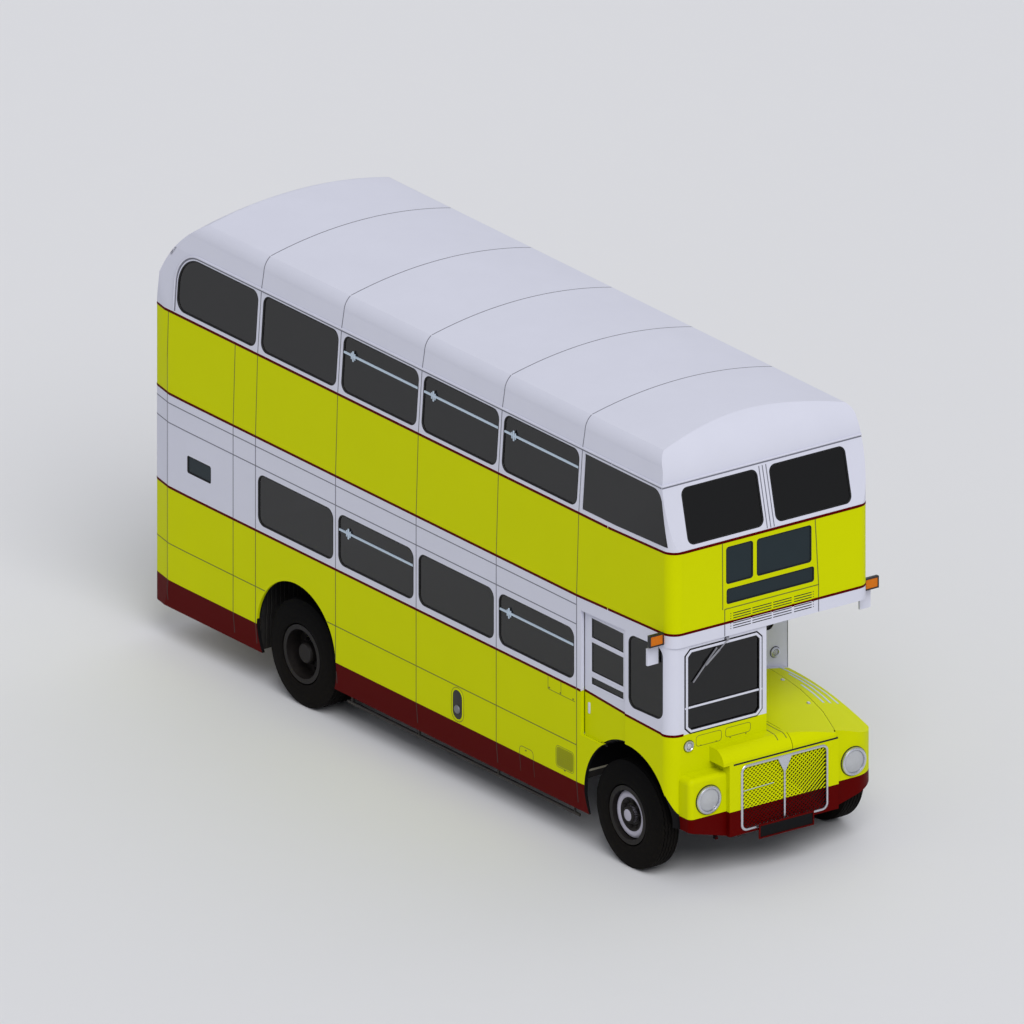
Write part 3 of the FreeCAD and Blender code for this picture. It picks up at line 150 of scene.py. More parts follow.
def surface(points, wrap_rows=False, wrap_columns=False, caps=False):
    """A part from points[u, v], closed on itself where a side wraps; caps close the first and last row."""
    rows, columns = points.shape[:2]
    index = np.arange(rows * columns).reshape(rows, columns)
    near = index if wrap_rows else index[:-1]
    far = np.roll(index, -1, 0) if wrap_rows else index[1:]
    faces = np.stack([near, np.roll(near, -1, 1), np.roll(far, -1, 1), far], -1)
    faces = (faces if wrap_columns else faces[:, :-1]).reshape(-1, 4).tolist()
    if caps:
        ring = np.arange(columns)
        faces += [ring[::-1].tolist(), (ring + (rows - 1) * columns).tolist()]
    return points.reshape(-1, 3), faces


def sweep(path, profile, up, closed=False):
    """A closed profile of (sideways, upwards) points carried along a path.

    At each point it stands square to the mean of the two runs and is widened by one over the cosine
    of half the turn, so corners are mitred. Open ends are closed by a face.
    """
    path = np.asarray(path, float)
    ahead = np.roll(path, -1, 0) - path
    behind = np.roll(ahead, 1, 0)
    if not closed:
        ahead[-1] = behind[-1]
        behind[0] = ahead[0]
    ahead = unit(ahead)
    behind = unit(behind)
    along = unit(ahead + behind)
    side = unit(np.cross(along, np.broadcast_to(up, path.shape)))
    rise = np.cross(side, along)
    profile = np.asarray(profile, float)
    offset = profile[None, :, :1] * side[:, None] + profile[None, :, 1:] * rise[:, None]
    bend = unit(ahead - behind)[:, None]
    widen = 1 / np.maximum(np.einsum("ij,ij->i", along, ahead), 0.4)[:, None, None] - 1
    offset = offset + widen * (offset * bend).sum(axis=-1, keepdims=True) * bend
    return surface(path[:, None] + offset, wrap_rows=closed, wrap_columns=True, caps=not closed)


def revolve(profile, centre, axis, count=48, first=0.0):
    """Points (radius, distance along the axis) turned once round an axis through centre."""
    profile = np.asarray(profile, float)
    axis = unit(np.asarray(axis, float))
    across = unit(np.cross(axis, Z if abs(axis[2]) < 0.9 else X))
    other = np.cross(axis, across)
    angle = first + np.linspace(0, 2 * math.pi, count, endpoint=False)[:, None, None]
    spoke = np.cos(angle) * across + np.sin(angle) * other
    points = np.asarray(centre) + profile[None, :, :1] * spoke + profile[None, :, 1:] * axis
    return surface(points, wrap_rows=True)


def tube(path, radius, closed=False, up=Z, count=10):
    """A round bar: a circle carried along a path."""
    turn = np.linspace(0, 2 * math.pi, count, endpoint=False)
    return sweep(path, np.stack([np.cos(turn), np.sin(turn)], -1) * radius, up, closed)


def rounded(width, height, radius, steps=5):
    """Outline of a rectangle about its middle with quarter-circle corners, anticlockwise."""
    turn = np.linspace(0, math.pi / 2, steps + 1)
    middles = np.array(((1, 1), (-1, 1), (-1, -1), (1, -1))) * (width / 2 - radius, height / 2 - radius)
    corner = turn[None] + np.arange(4)[:, None] * math.pi / 2
    return (middles[:, None] + radius * np.stack([np.cos(corner), np.sin(corner)], -1)).reshape(-1, 2)


def inset(outline, distance):
    """Outline moved inwards by a distance, each corner along the line between its two sides."""
    ahead = unit(np.roll(outline, -1, 0) - outline)
    behind = np.roll(ahead, 1, 0)
    inward = unit(np.stack([-ahead[:, 1] - behind[:, 1], ahead[:, 0] + behind[:, 0]], -1))
    slant = np.abs(ahead[:, 0] * inward[:, 1] - ahead[:, 1] * inward[:, 0])
    return outline + inward * (distance / np.maximum(slant, 0.5))[:, None]


def plate(outline, origin, u, v, thick, edge=0.002, steps=3):
    """A flat plate on the plane of u and v through origin, its top edge turned on a quarter circle."""
    out = np.cross(u, v)
    turn = np.linspace(0, math.pi / 2, steps + 1)
    insets = np.concatenate([[0.0], edge * (1 - np.cos(turn))])
    heights = np.concatenate([[0.0], thick - edge * (1 - np.sin(turn))])
    loops = [inset(outline, i) if i > 0 else outline for i in insets]
    points = [np.asarray(origin) + p[:, :1] * u + p[:, 1:] * v + h * out for p, h in zip(loops, heights)]
    return surface(np.array(points), wrap_columns=True, caps=True)


def merged(parts):
    """Several parts as one."""
    points = []
    faces = []
    start = 0
    for p, f in parts:
        points.append(p)
        faces += [[i + start for i in face] for face in f]
        start += len(p)
    return np.vstack(points), faces


def added(name, data):
    """A new object in the scene."""
    thing = bpy.data.objects.new(name, data)
    bpy.context.scene.collection.objects.link(thing)
    return thing


def make(name, parts, material, body="coachwork", slot=None, smooth=35, replaces=()):
    """One piece from its parts: doubles merged, faces outwards, edges sharper than smooth degrees kept.

    A slot is looked up for its material where none is given, but nothing uses it.
    """
    slot = slot or slot_names[material.name]
    points, faces = merged(parts)
    mesh = bpy.data.meshes.new(name)
    mesh.from_pydata(points.tolist(), [], faces)
    work = bmesh.new()
    work.from_mesh(mesh)
    bmesh.ops.remove_doubles(work, verts=work.verts, dist=0.00002)
    bmesh.ops.dissolve_degenerate(work, edges=work.edges, dist=0.00001)
    bmesh.ops.recalc_face_normals(work, faces=work.faces)
    work.to_mesh(mesh)
    work.free()
    mesh.polygons.foreach_set("use_smooth", np.ones(len(mesh.polygons), bool))
    mesh.set_sharp_from_angle(angle=math.radians(smooth))
    mesh.materials.append(material)
    piece = added(name, mesh)
    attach(piece, body)
    if replaces:
        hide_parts(*replaces)
    return piece


# ---------------------------------------------------------------- lines and patches laid on the body
PAINTED = [
    "lower_side_right", "lower_side_left", "lower_rear_corner", "upper_side_right", "upper_side_left",
    "upper_front", "upper_rear", "front_dome", "roof_panels", "rear_dome", "front_bulkhead",
    "rear_bulkhead", "cab_shell", "cab_door", "emergency_window",
]
FAR = 3.0       # how far out rays start from the sides
FAR_END = 6.0   # and from the ends and the top

# The rear dome: its side profile swung about the axis of the roof's crown, so its corners draw in too.
REAR_END_X = cad_box[0][0]
CROWN_AXIS_Z = 4.38 - 4.56              # the roof's height less its radius
DOME_ARC = np.array([(0.095, 3.80), (0.320, 4.11), (0.740, 4.40)])     # (ahead of the rear end, height)
DOME_LEAN = 0.1936                      # run to rise of the straight part under the arc
DOME_WALL = 0.034
DOME_FOOT_Z = 3.70                      # nothing is drawn in below this height
DOME_INSIDE = (-2.6, 0.0, 3.1)          # a place inside the rear of the upper deck


def circle_through(a, b, c):
    """Centre and radius of the circle through three points."""
    rows = 2 * np.array([b - a, c - a])
    centre = np.linalg.solve(rows, [b @ b - a @ a, c @ c - a @ a])
    return centre, np.linalg.norm(a - centre)


ARC_CENTRE, ARC_RADIUS = circle_through(*DOME_ARC)


def dome_station(points):
    """The station of the dome's skin at each point: x = cx - sqrt(r^2 - (h - cz)^2) at the height
    h = sqrt(y^2 + (z - za)^2) + za that the point has when it is swung back to the middle."""
    height = np.hypot(points[:, 1], points[:, 2] - CROWN_AXIS_Z) + CROWN_AXIS_Z
    inside_arc = np.maximum(ARC_RADIUS ** 2 - (np.minimum(height, DOME_ARC[2, 1]) - ARC_CENTRE[1]) ** 2, 0)
    arc = ARC_CENTRE[0] - np.sqrt(inside_arc)
    straight = DOME_ARC[0, 0] - DOME_LEAN * (DOME_ARC[0, 1] - height)
    return REAR_END_X + np.where(height > DOME_ARC[0, 1], arc, straight)


def domed(node, cuts, skin=0.0, wall=DOME_WALL, heed=(0.7, 1.0, 1.0)):
    """Points and faces of a node, cut along planes and drawn in to the dome.

    Its outer faces stay skin behind the dome's face and its inner ones a wall further in. The parts of the
    way out from the middle of the bus count by heed in telling the two apart.
    """
    points, triangles = mesh_arrays(node)
    work = bmesh.new()
    corners = [work.verts.new(point) for point in points]
    for a, b, c in triangles:
        work.faces.new((corners[a], corners[b], corners[c]))
    bmesh.ops.remove_doubles(work, verts=work.verts, dist=0.00002)
    for way, places in zip((X, Y, Z), cuts):
        for place_on in places:
            parts = work.verts[:] + work.edges[:] + work.faces[:]
            bmesh.ops.bisect_plane(work, geom=parts, dist=0.0002, plane_co=place_on * way, plane_no=way)
    work.normal_update()
    points = np.array([vert.co for vert in work.verts])
    normals = np.array([vert.normal for vert in work.verts])
    core = points - DOME_INSIDE
    inner = np.einsum("ij,ij->i", core * heed, normals) < 0
    reach = dome_station(points) + skin + np.where(inner, wall, 0.0)
    drawn_in = np.maximum(points[:, 0], reach)
    points[:, 0] = np.where(points[:, 2] < DOME_FOOT_Z, points[:, 0], drawn_in)
    work.verts.index_update()
    faces = [[vert.index for vert in face.verts] for face in work.faces]
    work.free()
    return points, faces


rear_spans = np.arange(REAR_END_X + 0.30, REAR_END_X + 0.50, 0.03)
side_cuts = (rear_spans, [], np.arange(3.70, 3.96, 0.03))
rear_cuts = ([], np.arange(-1.20, 1.21, 0.06), np.arange(3.70, 3.96, 0.025))
roof_cuts = (np.arange(REAR_END_X + 0.12, REAR_END_X + 0.80, 0.03), np.arange(-1.14, 1.15, 0.06),
             np.arange(3.96, 4.38, 0.025))
pane_cuts = ([], [], np.arange(3.70, 3.80, 0.02))
DOMED = {
    "upper_side_right": domed("upper_side_right", side_cuts),
    "upper_side_left": domed("upper_side_left", side_cuts),
    "upper_rear": domed("upper_rear", rear_cuts, heed=(1.0, 0.0, 0.0)),
    "rear_dome": domed("rear_dome", roof_cuts),
    "upper_windows": domed("upper_windows", pane_cuts, 0.010, 0.006),
}


def faces_tree(parts):
    """A tree of parts' faces, for finding the surface under a point."""
    points, faces = merged(parts)
    return BVHTree.FromPolygons(points.tolist(), faces)


def node_part(node):
    """A node's mesh as a part."""
    points, triangles = mesh_arrays(node)
    return points, triangles.tolist()


def skin_of(node):
    """The tree of one node."""
    return faces_tree([node_part(node)])


coachwork_skin = faces_tree([node_part(node) for node in PAINTED if node not in DOMED]
                            + [DOMED[node] for node in PAINTED if node in DOMED])


def runs(points, normals, met, jump):
    """Stretches of neighbouring hits, cut where a ray missed or the surface jumps."""
    step = np.linalg.norm(np.diff(points, axis=0), axis=1)
    usual = np.median(step)
    good = met[1:] & met[:-1] & (step < max(jump, 2.5 * usual))
    starts = np.concatenate([[0], np.where(~good)[0] + 1, [len(points)]])
    return [(points[a:b], normals[a:b]) for a, b in zip(starts[:-1], starts[1:]) if b - a > 3 and met[a]]


def bead(width, height, steps=5):
    """Half-round section that stands on the surface and dips a little into it."""
    turn = np.linspace(0, math.pi, steps + 2)
    arc = np.stack([np.cos(turn) * width / 2, np.sin(turn) * height], -1)
    return np.vstack([arc, [(-width / 2, -height), (width / 2, -height)]])


def laid(tree, starts, ways, section, jump=0.05):
    """A section carried along the places where a row of rays meets the body."""
    found = runs(*cast(tree, starts, ways), jump)
    return [sweep(points, section, normals) for points, normals in found]


def ring_rays(z, back=-3.3, front=3.0, step=0.02):
    """Rays at one height aimed at the bus's centre line, square along its sides and fanned round its ends."""
    along = np.arange(front, back, -step)
    fan = np.linspace(0, math.pi, 300)[1:-1]
    offside = np.stack([along, np.full_like(along, -FAR)], -1)
    rear = np.stack([back - FAR * np.sin(fan), -FAR * np.cos(fan)], -1)
    nearside = np.stack([along[::-1], np.full_like(along, FAR)], -1)
    nose = np.stack([front + FAR * np.sin(fan), FAR * np.cos(fan)], -1)
    start = np.vstack([offside, rear, nearside, nose])
    aim = np.stack([np.clip(start[:, 0], back, front), np.zeros(len(start))], -1)
    way = np.hstack([unit(aim - start), np.zeros((len(start), 1))])
    return np.hstack([start, np.full((len(start), 1), z)]), way


def hoop_rays(x, low, step=0.02, turn_z=3.4):
    """Rays in one cross-section: level up each side, then fanned over the roof."""
    up = np.arange(low, turn_z, step)
    fan = np.linspace(0, math.pi, 240)[1:-1]
    right = np.stack([np.full_like(up, -FAR), up], -1)
    over = np.stack([-FAR * np.cos(fan), turn_z + FAR * np.sin(fan)], -1)
    left = np.stack([np.full_like(up, FAR), up[::-1]], -1)
    start = np.vstack([right, over, left])
    aim = np.stack([np.zeros(len(start)), np.minimum(start[:, 1], turn_z)], -1)
    way = unit(aim - start)
    column = np.full((len(start), 1), x)
    return np.hstack([column, start]), np.hstack([column * 0, way])


def on_offside(points):
    """Rays onto the offside for a list of (x from the front axle, z) points."""
    x, z = np.asarray(points, float).T
    return np.stack([x + AXLE_X, np.full_like(x, -FAR), z], -1), Y


def on_nearside(points):
    """Rays onto the nearside for a list of (x from the front axle, z) points."""
    starts, way = on_offside(points)
    return starts * (1, -1, 1), -way


def front_rays(points):
    """Rays onto the front for a list of (y, z) points."""
    y, z = np.asarray(points, float).T
    return np.stack([np.full_like(y, FAR_END), y, z], -1), -X


def rear_rays(points):
    """Rays onto the rear for a list of (y, z) points."""
    starts, way = front_rays(points)
    return starts * (-1, 1, 1), -way


def top_rays(points):
    """Rays onto the top for a list of (x from the front axle, y) points."""
    x, y = np.asarray(points, float).T
    return np.stack([x + AXLE_X, y, np.full_like(x, FAR_END)], -1), -Z


def corner_rays(first, turn, last, z_first, z_last, step=0.02):
    """Rays along the offside from a station ahead of the axle, round a front corner and on across the front.

    The height runs evenly from z_first to z_last as the line goes forward, and stays there past the corner.
    """
    along = np.arange(AXLE_X + first, AXLE_X + turn[0], step)
    fan = np.linspace(0, math.pi / 2, 60)[1:-1]
    across = np.arange(turn[1], last, step * np.sign(last - turn[1]))
    side = np.stack([along, np.full_like(along, -FAR)], -1)
    bend = np.stack([AXLE_X + turn[0] + FAR * np.sin(fan), turn[1] - FAR * np.cos(fan)], -1)
    front = np.stack([np.full_like(across, FAR_END), across], -1)
    start = np.vstack([side, bend, front])
    way = np.vstack([np.tile((0.0, 1.0, 0.0), (len(side), 1)),
                     np.hstack([-np.sin(fan)[:, None], np.cos(fan)[:, None], np.zeros((len(fan), 1))]),
                     np.tile((-1.0, 0.0, 0.0), (len(front), 1))])
    reach = np.interp(start[:, 0], [AXLE_X + first, AXLE_X + turn[0] + 0.12], [z_first, z_last])
    return np.hstack([start, reach[:, None]]), way


def front_hit(tree, y, z):
    """The point of the front at a place across and up it."""
    return cast(tree, *front_rays([(y, z)]))[0][0]


def side_hit(tree, x, z):
    """The point of the offside at a station and height."""
    return cast(tree, *on_offside([(x, z)]))[0][0]


def dense(corners, step=0.02):
    """A line through corners with points about a step apart."""
    corners = np.asarray(corners, float)
    legs = np.linalg.norm(np.diff(corners, axis=0), axis=1)
    place = np.concatenate([[0], np.cumsum(legs)])
    at = np.linspace(0, place[-1], max(int(place[-1] / step), 3) + 1)
    return np.stack([np.interp(at, place, corners[:, k]) for k in range(corners.shape[1])], -1)


def patch(tree, outline, rings, rays):
    """A raised patch on the body: rings of (inset, height) over an outline, each point cast on the body."""
    loops = []
    for depth, height in rings:
        points, normals, _ = cast(tree, *rays(inset(outline, depth) if depth else outline))
        loops.append(points + normals * height)
    return surface(np.array(loops), wrap_columns=True, caps=True)


def line_round(tree, at, size, width, height, rays):
    """A closed bead on the body round a rounded rectangle: its middle, and its width, height and corner."""
    points, normals, _ = cast(tree, *rays(rounded(*size) + at))
    return sweep(points, bead(width, height), normals, closed=True)


# ---------------------------------------------------------------- colours and node groups
def tint(red, green, blue):
    """Linear colour from 0 to 255 steps."""
    steps = np.array((red, green, blue)) / 255
    linear = np.where(steps <= 0.04045, steps / 12.92, ((steps + 0.055) / 1.055) ** 2.4)
    return (*linear.tolist(), 1.0)


LIME = tint(205, 212, 0)
CREAM_WHITE = tint(212, 213, 226)
OXBLOOD = tint(84, 0, 0)
LINING = tint(196, 190, 168)
# black of the plastic parts; also painted as shade in the rooms of the wheels and the engine, under the floor
# and under the wings
PLASTIC_BLACK_AND_SHADE = tint(22, 22, 24)

WAIST_Z = 1.56          # red line under the lower windows
WAIST_NOSE_Z = 1.477    # the same line at the front corner of the cab
SKIRT_Z = 0.63          # top of the dark red skirt
SKIRT_NOSE_Z = 0.685    # the same on the wings
BELT_LOW_Z = 2.495      # red line over the lower windows
BELT_HIGH_Z = 3.31      # red line under the upper windows
SALOON_FRONT = -0.762   # front wall of the lower saloon, from the front axle


def add(tree, kind, inputs=None, **settings):
    """A node with its settings made and its inputs set or joined."""
    made = tree.nodes.new("ShaderNode" + kind)
    for key, value in settings.items():
        setattr(made, key, value)
    for key, value in (inputs or {}).items():
        if isinstance(value, bpy.types.NodeSocket):
            tree.links.new(value, made.inputs[key])
        else:
            made.inputs[key].default_value = value
    return made


def tree_of(*values):
    """The tree of the first socket among the values."""
    return next(value.id_data for value in values if isinstance(value, bpy.types.NodeSocket))


def sum_of(operation, first, second=0.0, clamp=False):
    """Output of one sum."""
    tree = tree_of(first, second)
    return add(tree, "Math", {0: first, 1: second}, operation=operation, use_clamp=clamp).outputs[0]


def any_of(value, *others):
    """One where any of the values is one."""
    for other in others:
        value = sum_of("ADD", value, other, clamp=True)
    return value


def all_of(value, *others):
    """One where all the values are one."""
    for other in others:
        value = sum_of("MULTIPLY", value, other)
    return value


def blend_of(factor, first, second, mode="MIX"):
    """Output of two colours mixed."""
    inputs = {0: factor, 6: first, 7: second}
    return add(tree_of(factor, first), "Mix", inputs, data_type="RGBA", blend_type=mode).outputs[2]


def ramp_of(value, low, high, to_low=0.0, to_high=1.0):
    """Output of a value stretched from one span to another and held at its ends."""
    inputs = {"Value": value, "From Min": low, "From Max": high, "To Min": to_low, "To Max": to_high}
    return add(tree_of(value), "MapRange", inputs).outputs[0]


def vector_of(operation, first, second=(0.0, 0.0, 0.0), output=0):
    """Output of one sum of vectors."""
    return add(tree_of(first), "VectorMath", {0: first, 1: second}, operation=operation).outputs[output]


def scaled(vector, factor):
    """A vector times a number."""
    return add(tree_of(vector), "VectorMath", {0: vector, "Scale": factor}, operation="SCALE").outputs[0]


def parts_of(vector):
    """The three separate parts of a vector."""
    return add(tree_of(vector), "SeparateXYZ", {0: vector}).outputs


def noise(vector, scale, detail, **more):
    """Output of a noise of so many cells to the metre."""
    inputs = {"Vector": vector, "Scale": scale, "Detail": detail, **more}
    return add(tree_of(vector), "TexNoise", inputs).outputs["Fac"]


def group(name, inputs, outputs):
    """An empty node group with named sockets, its input node's sockets and its output node's."""
    tree = bpy.data.node_groups.new(name, "ShaderNodeTree")
    kinds = {"Position": "NodeSocketVector", "Normal": "NodeSocketVector", "Colour": "NodeSocketColor"}
    for way, keys in (("INPUT", inputs), ("OUTPUT", dict.fromkeys(outputs))):
        for key, value in keys.items():
            socket = tree.interface.new_socket(key, in_out=way, socket_type=kinds.get(key, "NodeSocketFloat"))
            if value is not None:
                socket.default_value = value
    return tree, tree.nodes.new("NodeGroupInput").outputs, tree.nodes.new("NodeGroupOutput").inputs


def inside(place, *rooms):
    """One inside any of the boxes and nought outside them, from the separate parts of a position."""
    found = []
    for low, high in rooms:
        halves = [(b - a) / 2 for a, b in zip(low, high)]
        middles = [a + half for a, half in zip(low, halves)]
        away = [sum_of("ABSOLUTE", sum_of("SUBTRACT", part, at)) for part, at in zip(place, middles)]
        found.append(all_of(*[sum_of("LESS_THAN", gap, half) for gap, half in zip(away, halves)]))
    return any_of(*found)


def wheel_room(place):
    """One in the rooms of the wheels and under the floor, nought elsewhere."""
    return inside(
        place,
        ((REAR_AXLE_X - 0.68, -1.4, 0.0), (REAR_AXLE_X + 0.68, 1.4, 1.27)),
        ((AXLE_X - 0.67, -1.4, 0.0), (AXLE_X + 0.9, 1.4, 1.14)),
        ((PLATFORM_WALL_X - 0.03, -1.4, 0.0), (AXLE_X + 1.0, 1.4, 0.70)),
        ((REAR_AXLE_X - 1.2, -1.4, 0.0), (REAR_AXLE_X, -0.9, 0.75)),
    )


def livery_group():
    """Bands of the coachwork by height, the waist and skirt lines sloping a little towards the nose."""
    tree, given, out = group("Livery", {"Position": None}, ["Colour"])
    place = parts_of(given["Position"])
    waist = ramp_of(place[0], AXLE_X + SALOON_FRONT, AXLE_X + 0.61, WAIST_Z, WAIST_NOSE_Z)
    skirt = ramp_of(place[0], AXLE_X - 0.3, AXLE_X + 0.3, SKIRT_Z, SKIRT_NOSE_Z)
    colour = OXBLOOD
    for line, over in ((skirt, LIME), (waist, CREAM_WHITE), (BELT_LOW_Z, LIME), (BELT_HIGH_Z, CREAM_WHITE)):
        colour = blend_of(sum_of("GREATER_THAN", place[2], line), colour, over)
    facing = inside(place, ((AXLE_X - 0.775, -0.03, 1.10), (AXLE_X - 0.69, 1.23, 2.46)))
    tree.links.new(blend_of(facing, colour, CREAM_WHITE), out["Colour"])
    return tree


def outward(given, centre, reach):
    """The way from a centre, shortened by the reach of each axis, times the normal."""
    away = vector_of("SUBTRACT", given["Position"], centre)
    away = vector_of("MULTIPLY", away, tuple(1 / size for size in reach))
    return vector_of("DOT_PRODUCT", away, given["Normal"], "Value")


def lining_and_painted_shade_group():
    """The lining's colour on faces whose normal points back at the middle of the bus.

    Faces in the rooms of the wheels and the engine, under the floor and under the wings are painted black as
    shade.
    """
    tree, given, out = group("Inside lining and painted shade", {"Position": None, "Normal": None, "Colour": None}, ["Colour"])
    place = parts_of(given["Position"])
    middle_x = cad_box[0][0] * 0.5 + cad_box[1][0] * 0.5 - 0.3
    lined = sum_of("LESS_THAN", outward(given, (middle_x, 0.0, 2.3), (3.9, 1.2, 2.0)), -0.45)
    nose = inside(place, ((AXLE_X - 0.70, -1.4, 0.0), (AXLE_X + 1.0, 1.4, 1.33)),
                  ((AXLE_X - 0.66, -0.06, 1.30), (AXLE_X + 0.5, 0.95, 1.38)))
    lined = all_of(lined, sum_of("SUBTRACT", 1.0, nose))
    # inward faces below 0.70 m are painted black as shade instead of lined
    inner = blend_of(sum_of("LESS_THAN", place[2], 0.70), LINING, PLASTIC_BLACK_AND_SHADE)
    colour = blend_of(lined, given["Colour"], inner)
    back = sum_of("LESS_THAN", outward(given, (AXLE_X + 0.1, 0.0, 0.6), (0.8, 1.2, 0.6)), 0.0)
    down = sum_of("LESS_THAN", parts_of(given["Normal"])[2], -0.12)
    under = inside(
        place,
        ((REAR_AXLE_X - 0.70, -1.195, 0.0), (REAR_AXLE_X + 0.70, 1.195, 1.27)),
        ((AXLE_X - 0.83, -1.195, 0.0), (AXLE_X - 0.69, 1.195, 1.10)),
        ((AXLE_X - 0.83, 0.0, 0.0), (AXLE_X - 0.69, 1.14, 1.20)),
        ((AXLE_X - 0.83, -1.165, 0.0), (AXLE_X - 0.1, 1.165, 0.95)),
    )
    from_axle = vector_of("SUBTRACT", given["Position"], (AXLE_X, 0.0, 0.527))
    from_axle = vector_of("LENGTH", vector_of("MULTIPLY", from_axle, (1.0, 0.0, 1.0)), output="Value")
    near_axle = sum_of("LESS_THAN", from_axle, 0.64)
    barrel = all_of(near_axle, sum_of("LESS_THAN", sum_of("ABSOLUTE", place[1]), 1.15))
    # painted shade: black on the engine room's inward and downward faces, in the wheel rooms, under the floor
    # and wings, and round the front wheel
    painted_shade = any_of(all_of(nose, any_of(back, down)), under, barrel)
    tree.links.new(blend_of(painted_shade, colour, PLASTIC_BLACK_AND_SHADE), out["Colour"])
    return tree


def patina_group():
    """Tone that drifts over a surface, fine grain, and road film that thins out with height."""
    inputs = {"Colour": None, "Position": None, "Drift": 0.06, "Grain": 300.0, "Film": 0.1, "Roughness": 0.4}
    tree, given, out = group("Patina", inputs, ["Colour", "Roughness", "Height"])
    place = given["Position"]
    broad = noise(place, 2.2, 4.0, Roughness=0.6)
    mid = noise(place, 26.0, 3.0)
    shade = sum_of("ADD", sum_of("MULTIPLY", sum_of("SUBTRACT", broad, 0.5), given["Drift"]), 1.0)
    film = all_of(ramp_of(parts_of(place)[2], 1.1, 0.3), given["Film"], ramp_of(mid, 0.3, 0.7, 0.4, 1.0))
    rough = sum_of("MULTIPLY", sum_of("SUBTRACT", mid, 0.5), 0.12)
    rough = sum_of("ADD", sum_of("ADD", rough, given["Roughness"]), film, clamp=True)
    tree.links.new(blend_of(film, scaled(given["Colour"], shade), tint(120, 108, 92)), out["Colour"])
    tree.links.new(rough, out["Roughness"])
    tree.links.new(noise(place, given["Grain"], 2.0), out["Height"])
    return tree


def weave_group():
    """Two crossed sets of threads with a plain over-and-under step, and a check of thread colours."""
    inputs = {"Position": None, "Threads": 400.0, "Check": 14.0}
    tree, given, out = group("Weave", inputs, ["Height", "Check"])
    parts = parts_of(scaled(given["Position"], given["Threads"]))
    upright = sum_of("SINE", sum_of("ADD", parts[0], parts[2]))
    over = sum_of("MULTIPLY", upright, sum_of("SINE", parts[1]))
    tree.links.new(sum_of("ADD", sum_of("MULTIPLY", over, 0.5), 0.5), out["Height"])
    block = scaled(given["Position"], given["Check"])
    tree.links.new(add(tree, "TexChecker", {"Vector": block, "Scale": 1.0}).outputs["Fac"], out["Check"])
    return tree


def brushed_group():
    """Fine streaks along the bus, as on rolled and brushed metal."""
    tree, given, out = group("Brushed", {"Position": None, "Streaks": 500.0}, ["Height", "Roughness"])
    stretched = add(tree, "Mapping", {"Vector": given["Position"], "Scale": (0.04, 1.0, 1.0)}).outputs[0]
    streak = noise(stretched, given["Streaks"], 3.0)
    tree.links.new(streak, out["Height"])
    tree.links.new(ramp_of(streak, 0.25, 0.75, 0.18, 0.42), out["Roughness"])
    return tree


livery = livery_group()
# lining colour on inward faces, and black painted as shade in the rooms of the wheels and the engine and
# under the floor and the wings
lining = lining_and_painted_shade_group()
patina = patina_group()
weave = weave_group()
brushed = brushed_group()
slot_names = {}


def use(tree, shared, **inputs):
    """A shared group placed in a material with its own values."""
    return add(tree, "Group", inputs, node_tree=shared).outputs


def blank(name, slot):
    """A new material's tree and the object's own coordinates; its slot is noted by name."""
    material = bpy.data.materials.new(name)
    material.use_nodes = True
    slot_names[material.name] = slot
    return material, material.node_tree, material.node_tree.nodes.new("ShaderNodeTexCoord").outputs["Object"]


def dress(material, place, colour, bump, height=None, gloss=None, worn=None, **constants):
    """A material's shader joined up: a worn colour, its gloss and its bump; the constants are the shader's.

    Height and gloss come from the patina where none are given; Sheen_Weight stands for Sheen Weight.
    """
    tree = material.node_tree
    shader = tree.nodes["Principled BSDF"]
    aged = use(tree, patina, Colour=colour, Position=place, **(worn or {}))
    inputs = {"Height": height or aged["Height"], "Distance": bump, "Strength": 1.0}
    raised = add(tree, "Bump", inputs).outputs[0]
    joined = {"Base Color": aged["Colour"], "Roughness": gloss or aged["Roughness"], "Normal": raised}
    for key, value in joined.items():
        tree.links.new(value, shader.inputs[key])
    for key, value in constants.items():
        shader.inputs[key.replace("_", " ")].default_value = value
    return material


def finish(name, slot, colour, roughness=0.4, drift=0.06, grain=300.0, film=0.1, bump=0.0002, metallic=0.0,
           specular=0.5):
    """A plain finish: one colour with drifting tone, road film, grain in its gloss and in its height."""
    material, tree, place = blank(name, slot)
    if colour == "livery":
        colour = use(tree, livery, Position=place)["Colour"]
        normal = tree.nodes.new("ShaderNodeNewGeometry").outputs["Normal"]
        # the livery, lined on inward faces and painted black as shade in the wheel rooms, the engine room and
        # under the floor and wings
        colour = use(tree, lining, Position=place, Normal=normal, Colour=colour)["Colour"]
    worn = {"Drift": drift, "Grain": grain, "Film": film, "Roughness": roughness}
    return dress(material, place, colour, bump, worn=worn, Metallic=metallic, Specular_IOR_Level=specular)


def bright_metal(name, slot, colour, streaks=500.0):
    """Brushed or polished metal with streaks in its gloss."""
    material, tree, place = blank(name, slot)
    lines = use(tree, brushed, Position=place, Streaks=streaks)
    worn = {"Drift": 0.1, "Film": 0.12}
    return dress(material, place, colour, 0.0001, lines["Height"], lines["Roughness"], worn, Metallic=1.0)


def clear(name, slot, colour, roughness=0.04, specular=0.5, transmission=1.0):
    """Glass or a coloured lens: light goes through, tinted, with a slight ripple in the surface."""
    material, tree, place = blank(name, slot)
    worn = {"Drift": 0.2, "Grain": 5.0, "Film": 0.04, "Roughness": roughness}
    return dress(material, place, colour, 0.0006, worn=worn, Transmission_Weight=transmission,
                 Specular_IOR_Level=specular, IOR=1.45)


def fabric(name, slot, base, check):
    """Woven seat cloth: a two-colour check, threads that stand up, and a soft sheen."""
    material, tree, place = blank(name, slot)
    cloth = use(tree, weave, Position=place)
    worn = {"Drift": 0.3, "Film": 0.0, "Roughness": 0.85}
    return dress(material, place, blend_of(cloth["Check"], base, check), 0.0008, cloth["Height"], worn=worn,
                 Sheen_Weight=0.4, Sheen_Roughness=0.5)


